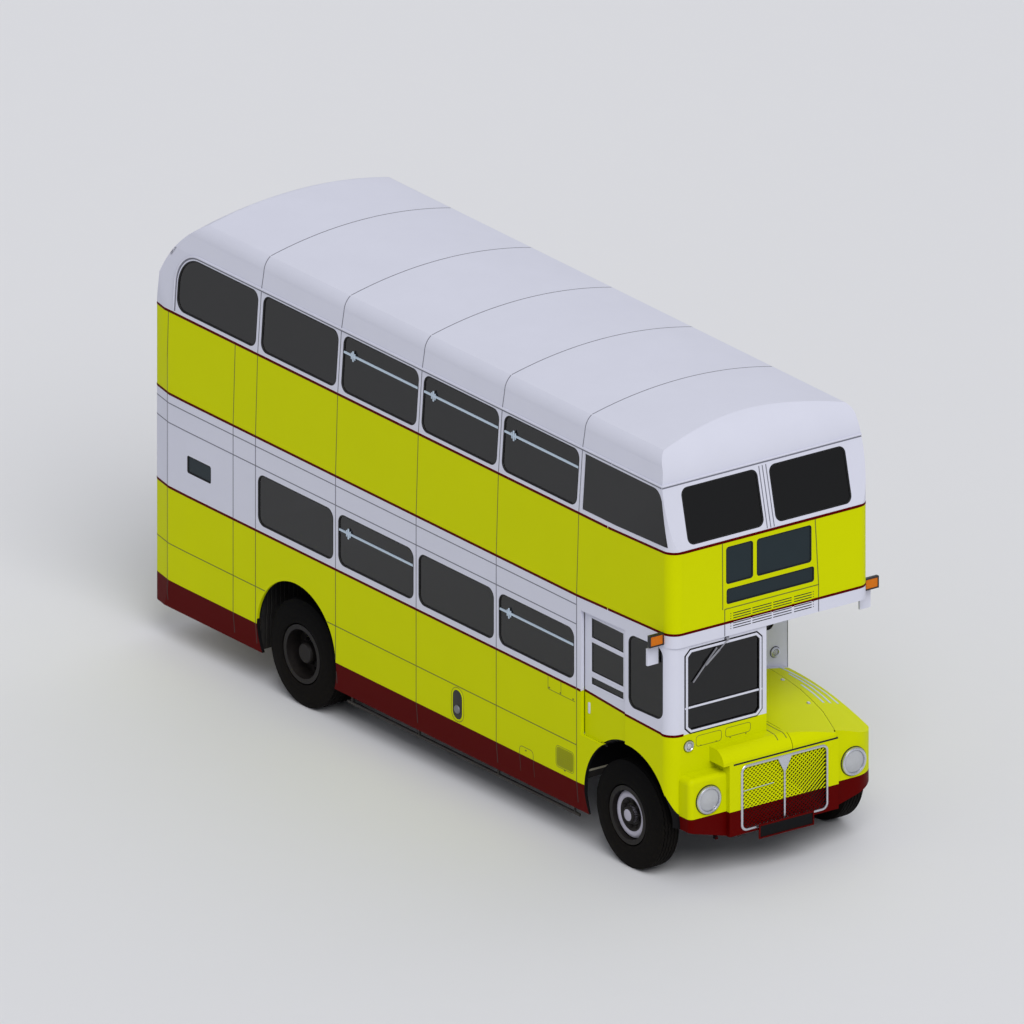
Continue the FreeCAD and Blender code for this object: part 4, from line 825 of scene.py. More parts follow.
def slatted(name, slot, colour, gap_colour, pitch):
    """Ribbed floor: battens along the bus, dark grooves and scuffed tops; other faces are lined, or painted
    black as shade in the wheel rooms.
    """
    material, tree, place = blank(name, slot)
    parts = parts_of(place)
    top = ramp_of(sum_of("PINGPONG", parts[1], pitch / 2), pitch * 0.08, pitch * 0.16)
    grain = add(tree, "Mapping", {"Vector": place, "Scale": (1.0, 12.0, 1.0)}).outputs[0]
    wood = blend_of(ramp_of(noise(grain, 9.0, 6.0), 0.3, 0.7), colour, tint(74, 60, 46))
    normal = tree.nodes.new("ShaderNodeNewGeometry").outputs["Normal"]
    # faces that are not trodden tops get the lining colour, or black painted as shade in the rooms of the
    # wheels and under the floor
    low = wheel_room(parts)
    trodden = all_of(sum_of("GREATER_THAN", parts_of(normal)[2], 0.7), sum_of("SUBTRACT", 1.0, low))
    colour = blend_of(trodden, blend_of(low, LINING, PLASTIC_BLACK_AND_SHADE), blend_of(top, gap_colour, wood))
    return dress(material, place, colour, 0.004, top, worn={"Drift": 0.2, "Roughness": 0.6})


def seam_and_shadow_paint(name, slot, darker):
    """Coachwork colour, darker, for the sealed joints between panels and for the shadow line painted under
    the rain gutter.
    """
    material, tree, place = blank(name, slot)
    colour = blend_of(1.0, use(tree, livery, Position=place)["Colour"], darker, "MULTIPLY")
    return dress(material, place, colour, 0.0002, worn={"Roughness": 0.6})


# columns: name, slot, colour, roughness, drift of the tone, grain, road film, bump, metallic, specular
FINISHES = {row[0]: finish(*row) for row in (
    ("paint", "paint", "livery", 0.42, 0.05, 180.0, 0.01, 0.00012, 0.0, 0.03),
    ("white paint", "white_paint", CREAM_WHITE, 0.38, 0.06, 180.0, 0.02, 0.00012, 0.0, 0.05),
    ("line paint", "paint", OXBLOOD, 0.4, 0.06, 200.0, 0.02, 0.0001, 0.0, 0.03),
    ("vent paint", "paint", tint(150, 154, 12), 0.5, 0.2, 200.0, 0.1, 0.0002, 0.0, 0.1),
    ("chassis black", "frame_black", tint(22, 22, 24), 0.55, 0.3, 120.0, 0.2, 0.0004),
    ("window rubber", "black_plastic", tint(20, 20, 22), 0.6, 0.06, 400.0, 0.15, 0.0002, 0.0, 0.3),
    ("tyre rubber", "tyre", tint(6, 6, 7), 0.7, 0.25, 260.0, 0.04, 0.0005, 0.0, 0.05),
    ("wheel paint", "steel", tint(18, 16, 18), 0.5, 0.3, 220.0, 0.06, 0.0003, 0.0, 0.2),
    ("black plastic", "black_plastic", PLASTIC_BLACK_AND_SHADE, 0.5, 0.06, 500.0, 0.1, 0.0003),
    ("plate black", "black_plate", tint(12, 12, 14), 0.4, 0.06, 300.0, 0.0, 0.0002, 0.0, 0.1),
    ("interior lining", "interior", LINING, 0.5, 0.06, 240.0, 0.0),
    ("display glass", "display", tint(34, 45, 50), 0.2, 0.25, 6.0, 0.1, 0.0004, 0.0, 0.15),
    ("satin aluminium", "silver", tint(188, 204, 220), 0.4, 0.12, 350.0, 0.1, 0.0002, 0.1),
    ("wheel silver", "silver", tint(176, 173, 188), 0.45, 0.1, 350.0, 0.1, 0.0002, 0.1),
    ("wiper grey", "steel", tint(136, 136, 143), 0.45, 0.1, 350.0, 0.1, 0.0002, 0.1),
    ("dull metal", "steel", tint(120, 122, 128), 0.45, 0.15, 350.0, 0.1, 0.0002, 0.3),
    ("seat trim", "black_plastic", tint(70, 20, 20), 0.5, 0.25, 420.0, 0.0, 0.0006),
    ("pale floor", None, tint(224, 224, 226), 0.9, 0.01, 300.0, 0.0, 0.0),
)}
paint = FINISHES["paint"]
white_paint = FINISHES["white paint"]
line_paint = FINISHES["line paint"]
rubber = FINISHES["window rubber"]
plastic = FINISHES["black plastic"]
pale_metal = FINISHES["satin aluminium"]
joint_and_shadow_paint = seam_and_shadow_paint("panel joint", "paint", (0.26, 0.26, 0.28, 1.0))
silver = bright_metal("silver trim", "silver", tint(208, 210, 218))
bare_steel = bright_metal("bare steel", "steel", tint(140, 142, 146))
mirror_glass = bright_metal("mirror glass", "silver", tint(200, 204, 212), 4.0)
glass = clear("smoked glass", "glass", tint(14, 14, 17), 0.05, 0.05)
lamp_glass = clear("lamp glass", "silver", tint(236, 238, 242), 0.08, transmission=0.55)
amber = clear("amber lens", "amber", tint(226, 122, 4), 0.2, 0.15, 0.25)
red_lens = clear("red lens", "silver", tint(190, 14, 12), 0.12, transmission=0.45)
seat_cloth = fabric("seat cloth", "seat_fabric", tint(126, 34, 30), tint(64, 60, 58))
floor_battens = slatted("floor battens", "floor_ply", tint(108, 90, 70), tint(24, 22, 20), 0.05)

SLOT_FINISH = {
    "paint": paint, "white_paint": white_paint, "frame_black": FINISHES["chassis black"],
    "floor_ply": floor_battens, "glass": glass, "silver": silver, "amber": amber,
    "display": FINISHES["display glass"], "black_plate": FINISHES["plate black"],
    "tyre": FINISHES["tyre rubber"],
    "rim": FINISHES["wheel paint"], "seat_fabric": seat_cloth, "interior": FINISHES["interior lining"],
    "steel": bare_steel, "black_plastic": plastic,
}
for row in frame["record"]["subparts"]:
    mesh = frame["nodes"][row["node"]].data
    mesh.materials.clear()
    mesh.materials.append(SLOT_FINISH[row["material_slot"]])
frame["nodes"]["window_rails"].data.materials[0] = pale_metal
frame["nodes"]["front_bulkhead"].data.materials[0] = paint


# ---------------------------------------------------------------- window rubbers
def pane_outline(points):
    """A pane's outer edge in order, and its outward normal."""
    centre = points.mean(axis=0)
    normal = np.linalg.svd(points - centre)[2][2]
    core = np.array((np.clip(centre[0], -3.2, 2.4), 0.0, centre[2]))
    if normal @ (centre - core) < 0:
        normal = -normal
    height = (points - centre) @ normal
    face = points[height > height.max() - 0.003]
    u = unit(np.cross(Z, normal))
    v = np.cross(normal, u)
    flat = np.stack([(face - centre) @ u, (face - centre) @ v], -1)
    _, first = np.unique(np.round(flat, 4), axis=0, return_index=True)
    face = face[first]
    flat = flat[first]
    flat = flat - (flat.max(axis=0) + flat.min(axis=0)) / 2
    return face[np.argsort(np.arctan2(flat[:, 1], flat[:, 0]))], normal


RUBBER_SECTION = mm((-13, -1), (4, -1), (5, 8.5), (2, 11.5), (-4, 12), (-10, 8.5), (-13, 3))


def rubber_round(node, scale):
    """A lip of rubber round each pane of a node, from the pane's face to a little over the panel."""
    lips = []
    for points in solids(node):
        outline, normal = pane_outline(points)
        if node in DOMED:
            outline[:, 0] = np.maximum(outline[:, 0], dome_station(outline) + 0.010)
        lips.append(sweep(outline, RUBBER_SECTION * scale, normal, closed=True))
    return lips


for node, material in (("upper_side_right", paint), ("upper_side_left", paint), ("upper_rear", paint),
                       ("rear_dome", white_paint), ("upper_windows", glass)):
    make(node + "_drawn", [DOMED[node]], material, replaces=[node])

for name, node, scale, body in (
    ("lower_window_rubbers", "lower_windows", (1.0, 1.0), "coachwork"),
    ("upper_window_rubbers", "upper_windows", (1.0, 1.0), "coachwork"),
    ("cab_door_window_rubbers", "cab_door_glass", (0.7, 0.5), "cab_door"),
    ("emergency_window_rubbers", "emergency_glass", (0.8, 0.6), "emergency_window"),
    ("display_rubbers", "destination_displays", (0.8, 0.9), "coachwork"),
):
    make(name, rubber_round(node, scale), rubber, body)

# ---------------------------------------------------------------- lines and joints of the panels
LINE_SECTION = bead(0.026, 0.003)
JOINT_SECTION = mm((-6, -2), (6, -2), (5, 1.2), (-5, 1.2))
THIN_JOINT_SECTION = JOINT_SECTION * (0.6, 0.8)
NOSE_JOINT_AND_GUTTER_SHADOW_SECTION = JOINT_SECTION * (1.6, 1.2)
GUTTER_SECTION = mm((-8, -2), (8, -2), (9, 10), (4, 13), (-4, 13), (-9, 10))
PANEL_FOOT_Z = 0.42
JOINT_HEIGHTS = (0.997, 2.205, 2.40)
JOINTS_FROM_AXLE = (SALOON_FRONT, -2.027, -3.288, -4.557, -5.817)   # hoops right round the body
REAR_JOINTS_FROM_AXLE = (-6.169, -7.22)                             # on the sides only


def scored(tree, rays, corners, section=JOINT_SECTION, step=0.02, jump=0.05):
    """A section laid on the body along a line through corners."""
    return laid(tree, *rays(dense(corners, step)), section, jump)


def ring(z, section, keep=None, jump=0.05):
    """A section laid round the coachwork at a height, where keep says so of the rays' stations."""
    start, way = ring_rays(z)
    kept = slice(None) if keep is None else keep(start[:, 0])
    return laid(coachwork_skin, start[kept], way[kept], section, jump)


def behind_cab(x):
    """Whether stations lie behind the front wall of the lower saloon."""
    return x < AXLE_X + SALOON_FRONT


make("belt_lines", ring(BELT_LOW_Z, LINE_SECTION) + ring(BELT_HIGH_Z, LINE_SECTION), line_paint)
make("waist_lines", ring(WAIST_Z, LINE_SECTION, behind_cab), line_paint)
joints = []
for x in JOINTS_FROM_AXLE:
    joints += laid(coachwork_skin, *hoop_rays(AXLE_X + x, PANEL_FOOT_Z), JOINT_SECTION)
for z in JOINT_HEIGHTS:
    joints += ring(z, JOINT_SECTION, behind_cab)
for rays in (on_offside, on_nearside):
    for x in REAR_JOINTS_FROM_AXLE:
        joints += scored(coachwork_skin, rays, [(x, PANEL_FOOT_Z), (x, BELT_HIGH_Z)])
make("panel_joints", joints, joint_and_shadow_paint)

# ---------------------------------------------------------------- plates and rails on the body
FACING = {"front": (Y, Z), "rear": (-Y, Z), "right": (X, Z), "left": (-X, Z), "top": (X, Y)}


def slab(centre, facing, width, height, thick, corner=0.004, edge=0.0015):
    """A rounded plate about a point, standing on the plane that faces a way."""
    return plate(rounded(width, height, corner), centre, *FACING[facing], thick, edge)


def place(x, y, z):
    """A point given from the front axle."""
    return np.array((AXLE_X + x, y, z))


def boxed_rail(path, width, height, up=Z):
    """A bar of rectangular section with eased corners along a path."""
    return sweep(path, rounded(width, height, min(width, height) * 0.2, 2), up)


cab_skin = skin_of("cab_shell")
door_skin = skin_of("cab_door")
wing_skin = skin_of("nearside_wing")
bonnet_skin = skin_of("bonnet")
cowl_skin = skin_of("radiator_cowl")

# the waist line of the cab falls to the front corner and stops at the windscreen's frame
cab_waist = laid(cab_skin, *corner_rays(-0.05, (0.49, -1.02), -0.995, 1.517, WAIST_NOSE_Z), LINE_SECTION)
cab_waist += scored(cab_skin, on_offside, [(-0.76, 1.56), (-0.704, 1.5565)], LINE_SECTION, 0.01)
make("cab_waist_line", cab_waist, line_paint)
door_waist = scored(door_skin, on_offside, [(-0.694, 1.556), (-0.056, 1.5175)], LINE_SECTION)
make("cab_door_waist_line", door_waist, line_paint, "cab_door")

# ---------------------------------------------------------------- windscreen, wiper and cab front
INNER_SEAL = mm((-12, 0), (6, 0), (6, 9), (1, 13), (-8, 14), (-12, 11))
SCREEN_FRAME = mm((-34, 8), (-10, 8), (-10, 17), (-14, 20), (-30, 20), (-34, 16))
OUTER_SEAL = mm((-43, 8), (-32, 8), (-32, 15), (-36, 16), (-43, 12))
SCREEN_BAR_Z = 1.735
cab_panes = sorted(solids("cab_windows"), key=lambda pane: pane[:, 0].min())
screen_line, screen_normal = pane_outline(cab_panes[-1])
side_line, side_normal = pane_outline(cab_panes[0])
screen_low = cab_panes[-1].min(axis=0)
screen_high = cab_panes[-1].max(axis=0)
bar_at = np.array((screen_high[0], (screen_low[1] + screen_high[1]) / 2, SCREEN_BAR_Z))
screen_wide = screen_high[1] - screen_low[1]
seals = [sweep(screen_line, section, screen_normal, closed=True) for section in (INNER_SEAL, OUTER_SEAL)]
seals.append(sweep(side_line, RUBBER_SECTION, side_normal, closed=True))
seals.append(slab(bar_at - 0.001 * X, "front", screen_wide, 0.034, 0.008, 0.002))
make("cab_window_seals", seals, rubber)
make("windscreen_frame", [sweep(screen_line, SCREEN_FRAME, screen_normal, closed=True),
                          slab(bar_at, "front", screen_wide, 0.018, 0.014, 0.003)], white_paint)

cab_face_x = screen_high[0] + 0.010
WIPER_PIVOT = np.array((cab_face_x, -0.501, 2.335))
blade_line = WIPER_PIVOT + [(0.004, -0.116, -0.068), (0.004, -0.389, -0.355)]
arm_line = WIPER_PIVOT + [(0.030, 0.0, 0.0), (0.026, -0.099, -0.085), (0.016, -0.2525, -0.2115)]
boss = mm((0, 34), (10, 33), (16, 28), (18, 0), (26, 0), (26, -4))
make("windscreen_wiper", [boxed_rail(blade_line, 0.012, 0.014, X), tube(arm_line, 0.0055, up=X, count=8),
                          boxed_rail(arm_line[[1, 2]], 0.020, 0.006, X), revolve(boss, WIPER_PIVOT, X, 24)],
     FINISHES["wiper grey"])

flaps = [line_round(cab_skin, (-0.707, 1.380), (0.292, 0.105, 0.03), 0.006, 0.0018, front_rays),
         line_round(cab_skin, (-0.369, 1.388), (0.288, 0.092, 0.03), 0.006, 0.0018, front_rays)]
flaps += [slab((cab_face_x, y, 1.332), "front", 0.016, 0.007, 0.004, 0.002)
          for y in (-0.80, -0.62, -0.46, -0.28)]
make("cab_front_flaps", flaps, joint_and_shadow_paint)

# ---------------------------------------------------------------- front of the upper deck
SLOT_SECTION = mm((-5.2, -2), (5.2, -2), (5, 0.9), (-5, 0.9))
HOOD_SECTION = bead(0.0075, 0.0042, 3)
HOOD_RISE = 0.0075
slots = []
hoods = []
for z in np.linspace(2.427, 2.577, 7):
    for first, last in ((-0.439, -0.236), (-0.217, 0.005), (0.024, 0.236), (0.265, 0.467)):
        for rise, section, store in ((0.0, SLOT_SECTION, slots), (HOOD_RISE, HOOD_SECTION, hoods)):
            corners = [(first, z + rise), (last, z + rise)]
            store += scored(coachwork_skin, front_rays, corners, section, 0.04, 0.3)
    for y in (-0.467, 0.487):
        at = front_hit(coachwork_skin, y, z) - 0.001 * X
        slots.append(slab(at, "front", 0.010, 0.008, 0.0022, 0.002, 0.0008))
make("vent_slots", slots, rubber)
make("vent_hoods", hoods, paint)

VENT_LOW_Z = 2.366
VENT_TOP_Z = 2.634
front_seams = []
for corners in (
    [(-0.537, VENT_LOW_Z), (-0.537, VENT_TOP_Z), (0.548, VENT_TOP_Z), (0.548, VENT_LOW_Z)],
    [(-0.560, VENT_TOP_Z), (-0.564, 3.30)], [(0.548, VENT_TOP_Z), (0.508, 3.30)],
    *[[(y, 3.33), (y, 3.91)] for y in (-0.040, 0.040, 0.0)],
):
    front_seams += scored(coachwork_skin, front_rays, corners, step=0.012)
make("front_joints", front_seams, joint_and_shadow_paint)

# rain gutter with a dark joint under it, widened into a painted shadow line: along both sides, round the
# front, and over the rear quarter lights
GUTTER_Z = 3.953
GUTTER_END = -5.83
BROW_CENTRE = (-6.80, 3.61)
BROW_RADIUS = 0.343
BROW_FOOT_Z = 3.335
BROW_STEP = 0.015
SHADOW_DROP = 0.017
brow_turn = np.linspace(math.pi / 2, math.pi, 16)
# the second pass lays a dark joint just under the gutter, widened into a painted shadow band
for name, material, section, drop in (("rain_gutters", white_paint, GUTTER_SECTION, 0.0),
                                      ("gutter_joint_and_painted_shadow", joint_and_shadow_paint, NOSE_JOINT_AND_GUTTER_SHADOW_SECTION, SHADOW_DROP)):
    parts = ring(GUTTER_Z - drop, section, lambda x: x > AXLE_X + GUTTER_END, 0.06)
    radius = BROW_RADIUS - drop
    arch = BROW_CENTRE + radius * np.stack([np.cos(brow_turn), np.sin(brow_turn)], -1)
    brow = dense([(GUTTER_END, GUTTER_Z - drop), *arch, (BROW_CENTRE[0] - radius, BROW_FOOT_Z)], BROW_STEP)
    parts += laid(coachwork_skin, *on_offside(brow), section, 0.06)
    parts += laid(coachwork_skin, *on_nearside(brow[::-1]), section, 0.06)
    make(name, parts, material)

# ---------------------------------------------------------------- cab door furniture
# flush pull, low enough to pass behind the body side as the door slides back
PULL_X = -0.625
pull_bar = [place(PULL_X, y, z) for y, z in ((-1.1735, 1.355), (-1.1755, 1.365), (-1.1755, 1.435),
                                             (-1.1735, 1.445))]
make("cab_door_handle", [slab(place(PULL_X, -1.1722, 1.40), "right", 0.030, 0.110, 0.006, 0.010),
                         tube(pull_bar, 0.0042, up=X)], white_paint, "cab_door")
runner_y = -HALF_WIDTH + 0.0392
make("cab_door_runner", [slab(place(x, runner_y, 1.1105), "right", 0.016, 0.011, 0.004, 0.002, 0.001)
                         for x in np.arange(-0.685, -0.33, 0.027)], rubber)
beads = []
for low, high in boxes("cab_door_glass"):
    at = ((low + high) / 2)[[0, 2]] - (AXLE_X, 0.0)
    beads.append(line_round(door_skin, at, (*(high - low)[[0, 2]] + 0.03, 0.012), 0.008, 0.003, on_offside))
make("cab_door_light_beads", beads, white_paint, "cab_door")

# ---------------------------------------------------------------- bonnet, wings and nose
nose_joint = scored(cowl_skin, front_rays, [(-0.584, 1.1495), (0.622, 1.1495)], NOSE_JOINT_AND_GUTTER_SHADOW_SECTION, jump=0.06)
make("nose_joint", nose_joint, rubber)
hinge = []
for corners in ([(-0.735, 0.060), (0.60, 0.060), (0.80, 0.060)],
                [(-0.735, -0.022), (0.60, -0.022), (0.80, -0.040)]):
    hinge += scored(cowl_skin, top_rays, corners, jump=0.06)
make("bonnet_hinge_joints", hinge, joint_and_shadow_paint)
STRIP_SECTION = mm((-11, -2), (11, -2), (10, 3.5), (6, 5), (-6, 5), (-10, 3.5))
strips = []
for corners in ([(-0.72, 1.090), (-0.35, 1.100), (0.0, 1.098), (0.23, 1.075)],
                [(-0.50, 1.045), (-0.2, 1.035), (0.05, 1.015), (0.225, 0.990)],
                [(-0.20, 0.965), (0.0, 0.950), (0.22, 0.915)]):
    strips += scored(wing_skin, top_rays, corners, STRIP_SECTION, jump=0.06)
make("wing_strips", strips, pale_metal)
catch_points, catch_normals, _ = cast(bonnet_skin, *top_rays([(-0.35, 0.86), (0.22, 0.74)]))
CATCH = mm((0, 12), (14, 11), (20, 6), (22, -4))
catches = [revolve(CATCH, point, normal, 20) for point, normal in zip(catch_points, catch_normals)]
make("bonnet_catches", catches, silver, "bonnet")

# radiator core behind the lattice: fins on a plate
grille_low, grille_high = np.array([list(corner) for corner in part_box("radiator_grille")])
grille_size = grille_high - grille_low
core_at = (grille_low + grille_high) / 2
core_at[0] = grille_low[0] - 0.045
fins = [slab(core_at, "front", grille_size[1] + 0.02, grille_size[2] + 0.01, 0.004)]
for z in np.arange(grille_low[2] + 0.01, grille_high[2], 0.016):
    fins.append(slab((core_at[0] + 0.003, 0.0, z), "front", grille_size[1], 0.004, 0.014, 0.001, 0.001))
make("radiator_core", fins, plastic)
rod_line = [(grille_high[0] + 0.004, -0.47, 0.865), (grille_high[0] + 0.004, -0.12, 0.873)]
make("grille_rod", [tube(rod_line, 0.003)], pale_metal)
NUMBER_FRAME_SECTION = mm((-6, -4), (8, -4), (8, 3), (5, 6), (-6, 6))
plate_low, plate_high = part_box("number_plates")
plate_line = [(plate_high.x, y, z) for y, z in ((plate_low.y, plate_low.z), (plate_high.y, plate_low.z),
                                                (plate_high.y, plate_high.z), (plate_low.y, plate_high.z))]
make("number_plate_frame", [sweep(plate_line, NUMBER_FRAME_SECTION, X, closed=True)], line_paint)


# ---------------------------------------------------------------- lamps
FLUTE_PITCH = 0.014
LARGEST_SIDE_LAMP = 0.1


def fluted_lens(centre, radius, rise, flutes=0.0, count=96):
    """A shallow dome facing forward: height is a sphere's, with upright flutes as a cosine across it."""
    ring = np.linspace(0, 1, 15)[1:, None] * radius
    turn = np.linspace(0, 2 * math.pi, count, endpoint=False)[None]
    y = ring * np.cos(turn)
    z = ring * np.sin(turn)
    share = ring / radius
    x = rise * (1 - share ** 2) + flutes * np.cos(y * 2 * math.pi / FLUTE_PITCH) * (1 - share ** 4)
    body, faces = surface(np.stack([x, y, z], -1) + centre, wrap_columns=True)
    tip = len(body)
    faces += [[tip, (k + 1) % count, k] for k in range(count)]
    faces.append(list(range(tip - count, tip)))
    return np.vstack([body, [centre + (rise + flutes) * X]]), faces


# each kind of lamp: (share of the radius, inset, distance forward) of its rim, well and seat
HEAD_RIM = [(1, 0, 0), (1, 0, 0.014), (1, 0.004, 0.024), (1, 0.014, 0.030), (1, 0.026, 0.027),
            (1, 0.031, 0.018), (1, 0.031, 0)]
HEAD_WELL = [(1, 0.029, 0), (1, 0.029, 0.013), (0, -0.02, 0.013), (0, -0.02, 0)]
HEAD_SEAT = [(1, 0, 0), (1, -0.006, 0.001), (1, -0.006, 0.007), (1, 0, 0.009), (1, 0.002, 0.009),
             (1, 0.002, 0)]
SIDE_RIM = [(1, 0, 0), (1, 0, 0.010), (0.92, 0, 0.018), (0.72, 0, 0.022), (0.62, 0, 0.016), (0.62, 0, 0)]
SIDE_WELL = [(0.64, 0, 0), (0.64, 0, 0.009), (0, -0.01, 0.009), (0, -0.01, 0)]
SIDE_SEAT = [(1, 0, 0), (1, -0.004, 0.001), (1, -0.004, 0.006), (1, 0, 0.008), (1, 0.002, 0.008),
             (1, 0.002, 0)]
TAIL_RIM = [(1, 0, 0), (1, 0, 0.012), (0.9, 0, 0.020), (0.78, 0, 0.018), (0.78, 0, 0)]
TAIL_LENS = [(0, 0, 0.030), (0.3, 0, 0.029), (0.6, 0, 0.024), (0.76, 0, 0.015), (0.76, 0, 0)]


def turned(lines, radius, seat, axis, count):
    """A body of revolution from lines of (share of the radius, inset, distance along the axis)."""
    return revolve([(radius * share - less, along) for share, less, along in lines], seat, axis, count)


rims = []
wells = []
lenses = []
lamp_seats = []
tail_lenses = []
for low, high in boxes("lamps"):
    seat = (low + high) / 2
    seat[0] = low[0] if low[0] >= 0 else high[0]
    radius = (high[1] - low[1]) / 2
    if low[0] < 0:
        rims.append(turned(TAIL_RIM, radius, seat, -X, 48))
        tail_lenses.append(turned(TAIL_LENS, radius, seat, -X, 48))
        continue
    head = radius > LARGEST_SIDE_LAMP
    rims.append(turned(HEAD_RIM if head else SIDE_RIM, radius, seat, X, 96 if head else 48))
    wells.append(turned(HEAD_WELL if head else SIDE_WELL, radius, seat, X, 48 if head else 32))
    lamp_seats.append(turned(HEAD_SEAT if head else SIDE_SEAT, radius, seat, X, 96 if head else 48))
    lenses.append(fluted_lens(seat + 0.014 * X, radius - 0.033, 0.022, 0.0012) if head
                  else fluted_lens(seat + 0.010 * X, radius * 0.60, 0.018))
make("lamp_rims", rims, silver, replaces=["lamps"])
make("lamp_seats", lamp_seats, rubber)
make("lamp_wells", wells, plastic)
make("lamp_lenses", lenses, lamp_glass)
make("rear_lamp_lenses", tail_lenses, red_lens)

# ---------------------------------------------------------------- arm lamps and mirrors
cases = []
for low, high in boxes("trafficators"):
    sign = math.copysign(1, low[1])
    outer = sign * max(abs(low[1]), abs(high[1]))
    inner = sign * (HALF_WIDTH - 0.052)
    corners = ((outer, low[2]), (outer, high[2]), (inner, high[2]), (inner, low[2]))
    section = rounded(0.014, high[0] - low[0] + 0.010, 0.003, 2)
    cases.append(sweep([((low[0] + high[0]) / 2, y, z) for y, z in corners], section, X, closed=True))
make("trafficator_cases", cases, plastic)
mirrors = []
for low, high in boxes("mirrors"):
    sign = math.copysign(1, low[1] + high[1])
    head_y = sign * (max(abs(low[1]), abs(high[1])) - 0.0625)
    mirrors.append(slab((low[0] + 0.001, head_y, low[2] + 0.085), "rear", 0.108, 0.152, 0.004, 0.018, 0.001))
make("mirror_glasses", mirrors, mirror_glass)

# ---------------------------------------------------------------- panels of the offside
FILLER_AT = (-2.636, 0.812)
VENT_AT = (-0.946, 0.795)
panel_lines = [line_round(coachwork_skin, FILLER_AT, (0.196, 0.338, 0.095), 0.006, 0.002, on_offside)]
for corners in ([(-1.212, 1.545), (-1.212, 1.420), (-0.790, 1.420)], [(-1.008, 1.545), (-1.008, 1.422)],
                [(-1.660, 0.455), (-1.660, 0.68), (-1.65, 0.705), (-1.625, 0.717), (-1.478, 0.717),
                 (-1.455, 0.705), (-1.445, 0.68), (-1.445, 0.455)]):
    panel_lines += scored(coachwork_skin, on_offside, corners, THIN_JOINT_SECTION, 0.01)
panel_lines.append(line_round(coachwork_skin, VENT_AT, (0.284, 0.212, 0.04), 0.005, 0.002, on_offside))
make("offside_panel_lines", panel_lines, joint_and_shadow_paint)
recess_rings = ((0.0, -0.002), (0.0, 0.0012), (0.004, 0.0016))
recess = patch(coachwork_skin, rounded(0.150, 0.290, 0.072) + FILLER_AT, recess_rings, on_offside)
make("filler_recess", [recess], plastic)
filler_lip = line_round(coachwork_skin, FILLER_AT, (0.162, 0.302, 0.078), 0.014, 0.006, on_offside)
make("filler_lip", [filler_lip], paint)
cap_profile = mm((0, 20), (20, 19.5), (34, 16), (40, 10), (42, 0), (42, -4))
filler_cap = revolve(cap_profile, side_hit(coachwork_skin, -2.638, 0.765), -Y, 40)
make("filler_cap", [filler_cap], FINISHES["dull metal"])
vent_rings = ((0.0, -0.002), (0.0, 0.0010), (0.003, 0.0016))
vent = [patch(coachwork_skin, rounded(0.262, 0.190, 0.034) + VENT_AT, vent_rings, on_offside)]
for z in np.linspace(0.722, 0.868, 8):
    vent += scored(coachwork_skin, on_offside, [(-1.055, z), (-0.838, z)], HOOD_SECTION, 0.03, 0.3)
make("side_vent", vent, FINISHES["vent paint"])
catch_places = ((-1.190, 1.437), (-1.014, 1.437), (-0.815, 1.437), (-1.56, 0.69), (-0.946, 0.682))
make("panel_catches", [slab(side_hit(coachwork_skin, x, z), "right", 0.020, 0.012, 0.005, 0.003)
                       for x, z in catch_places], joint_and_shadow_paint)

# ---------------------------------------------------------------- lifeguard rails under the skirts
guards = []
for y in (-1.10, 1.10):
    for z, width, height in ((0.234, 0.022, 0.028), (0.318, 0.016, 0.018)):
        guards.append(boxed_rail([place(-4.52, y, z), place(-0.87, y, z)], width, height))
    for x in (-4.45, -3.40, -2.15, -0.95):
        guards.append(boxed_rail([place(x, y, 0.225), place(x, y, 0.352)], 0.020, 0.020, X))
make("lifeguard_rails", guards, FINISHES["chassis black"])

# ---------------------------------------------------------------- opening top lights
# plates of a catch: distance along, width, height, thickness, corner
RAIL_CATCH = ((0.0, 0.090, 0.020, 0.004, 0.006), (0.0, 0.018, 0.104, 0.007, 0.005),
              (0.026, 0.014, 0.064, 0.006, 0.004), (-0.026, 0.014, 0.064, 0.006, 0.004))
rail_catches = []
for low, high in boxes("window_rails"):
    sign = math.copysign(1, low[1])
    facing = "right" if sign < 0 else "left"
    spot = np.array((low[0] + 0.16, sign * max(abs(low[1]), abs(high[1])), (low[2] + high[2]) / 2))
    for along, *size in RAIL_CATCH:
        rail_catches.append(slab(spot + along * X, facing, *size))
make("top_light_catches", rail_catches, pale_metal)

# ---------------------------------------------------------------- lattice grille and its surround
LATTICE_Y = 0.486
LATTICE_Z = np.array((0.482, 1.106))
LATTICE_BAR = 0.020
LATTICE_PITCH = (0.046, 0.040)


def lattice_bar(foot, lean, x, thick):
    """One slanting bar: a strip cut off by the mouth's two sides."""
    run = (LATTICE_Z[1] - LATTICE_Z[0]) * LATTICE_PITCH[0] / LATTICE_PITCH[1]
    head = foot + lean * run
    ends = np.array((-lean * LATTICE_Y - foot, lean * (LATTICE_Y - LATTICE_BAR) - foot)) / (head - foot)
    ends = ends.clip(0.0, 1.0)
    if ends[1] - ends[0] < 0.03:
        return []
    y = foot + (head - foot) * ends
    z = LATTICE_Z[0] + (LATTICE_Z[1] - LATTICE_Z[0]) * ends
    outline = np.array([(y[0], z[0]), (y[0] + LATTICE_BAR, z[0]), (y[1] + LATTICE_BAR, z[1]), (y[1], z[1])])
    outline[:, 0] = np.clip(outline[:, 0], -LATTICE_Y, LATTICE_Y)
    return [plate(outline, x * X, Y, Z, thick, 0.0006, 1)]


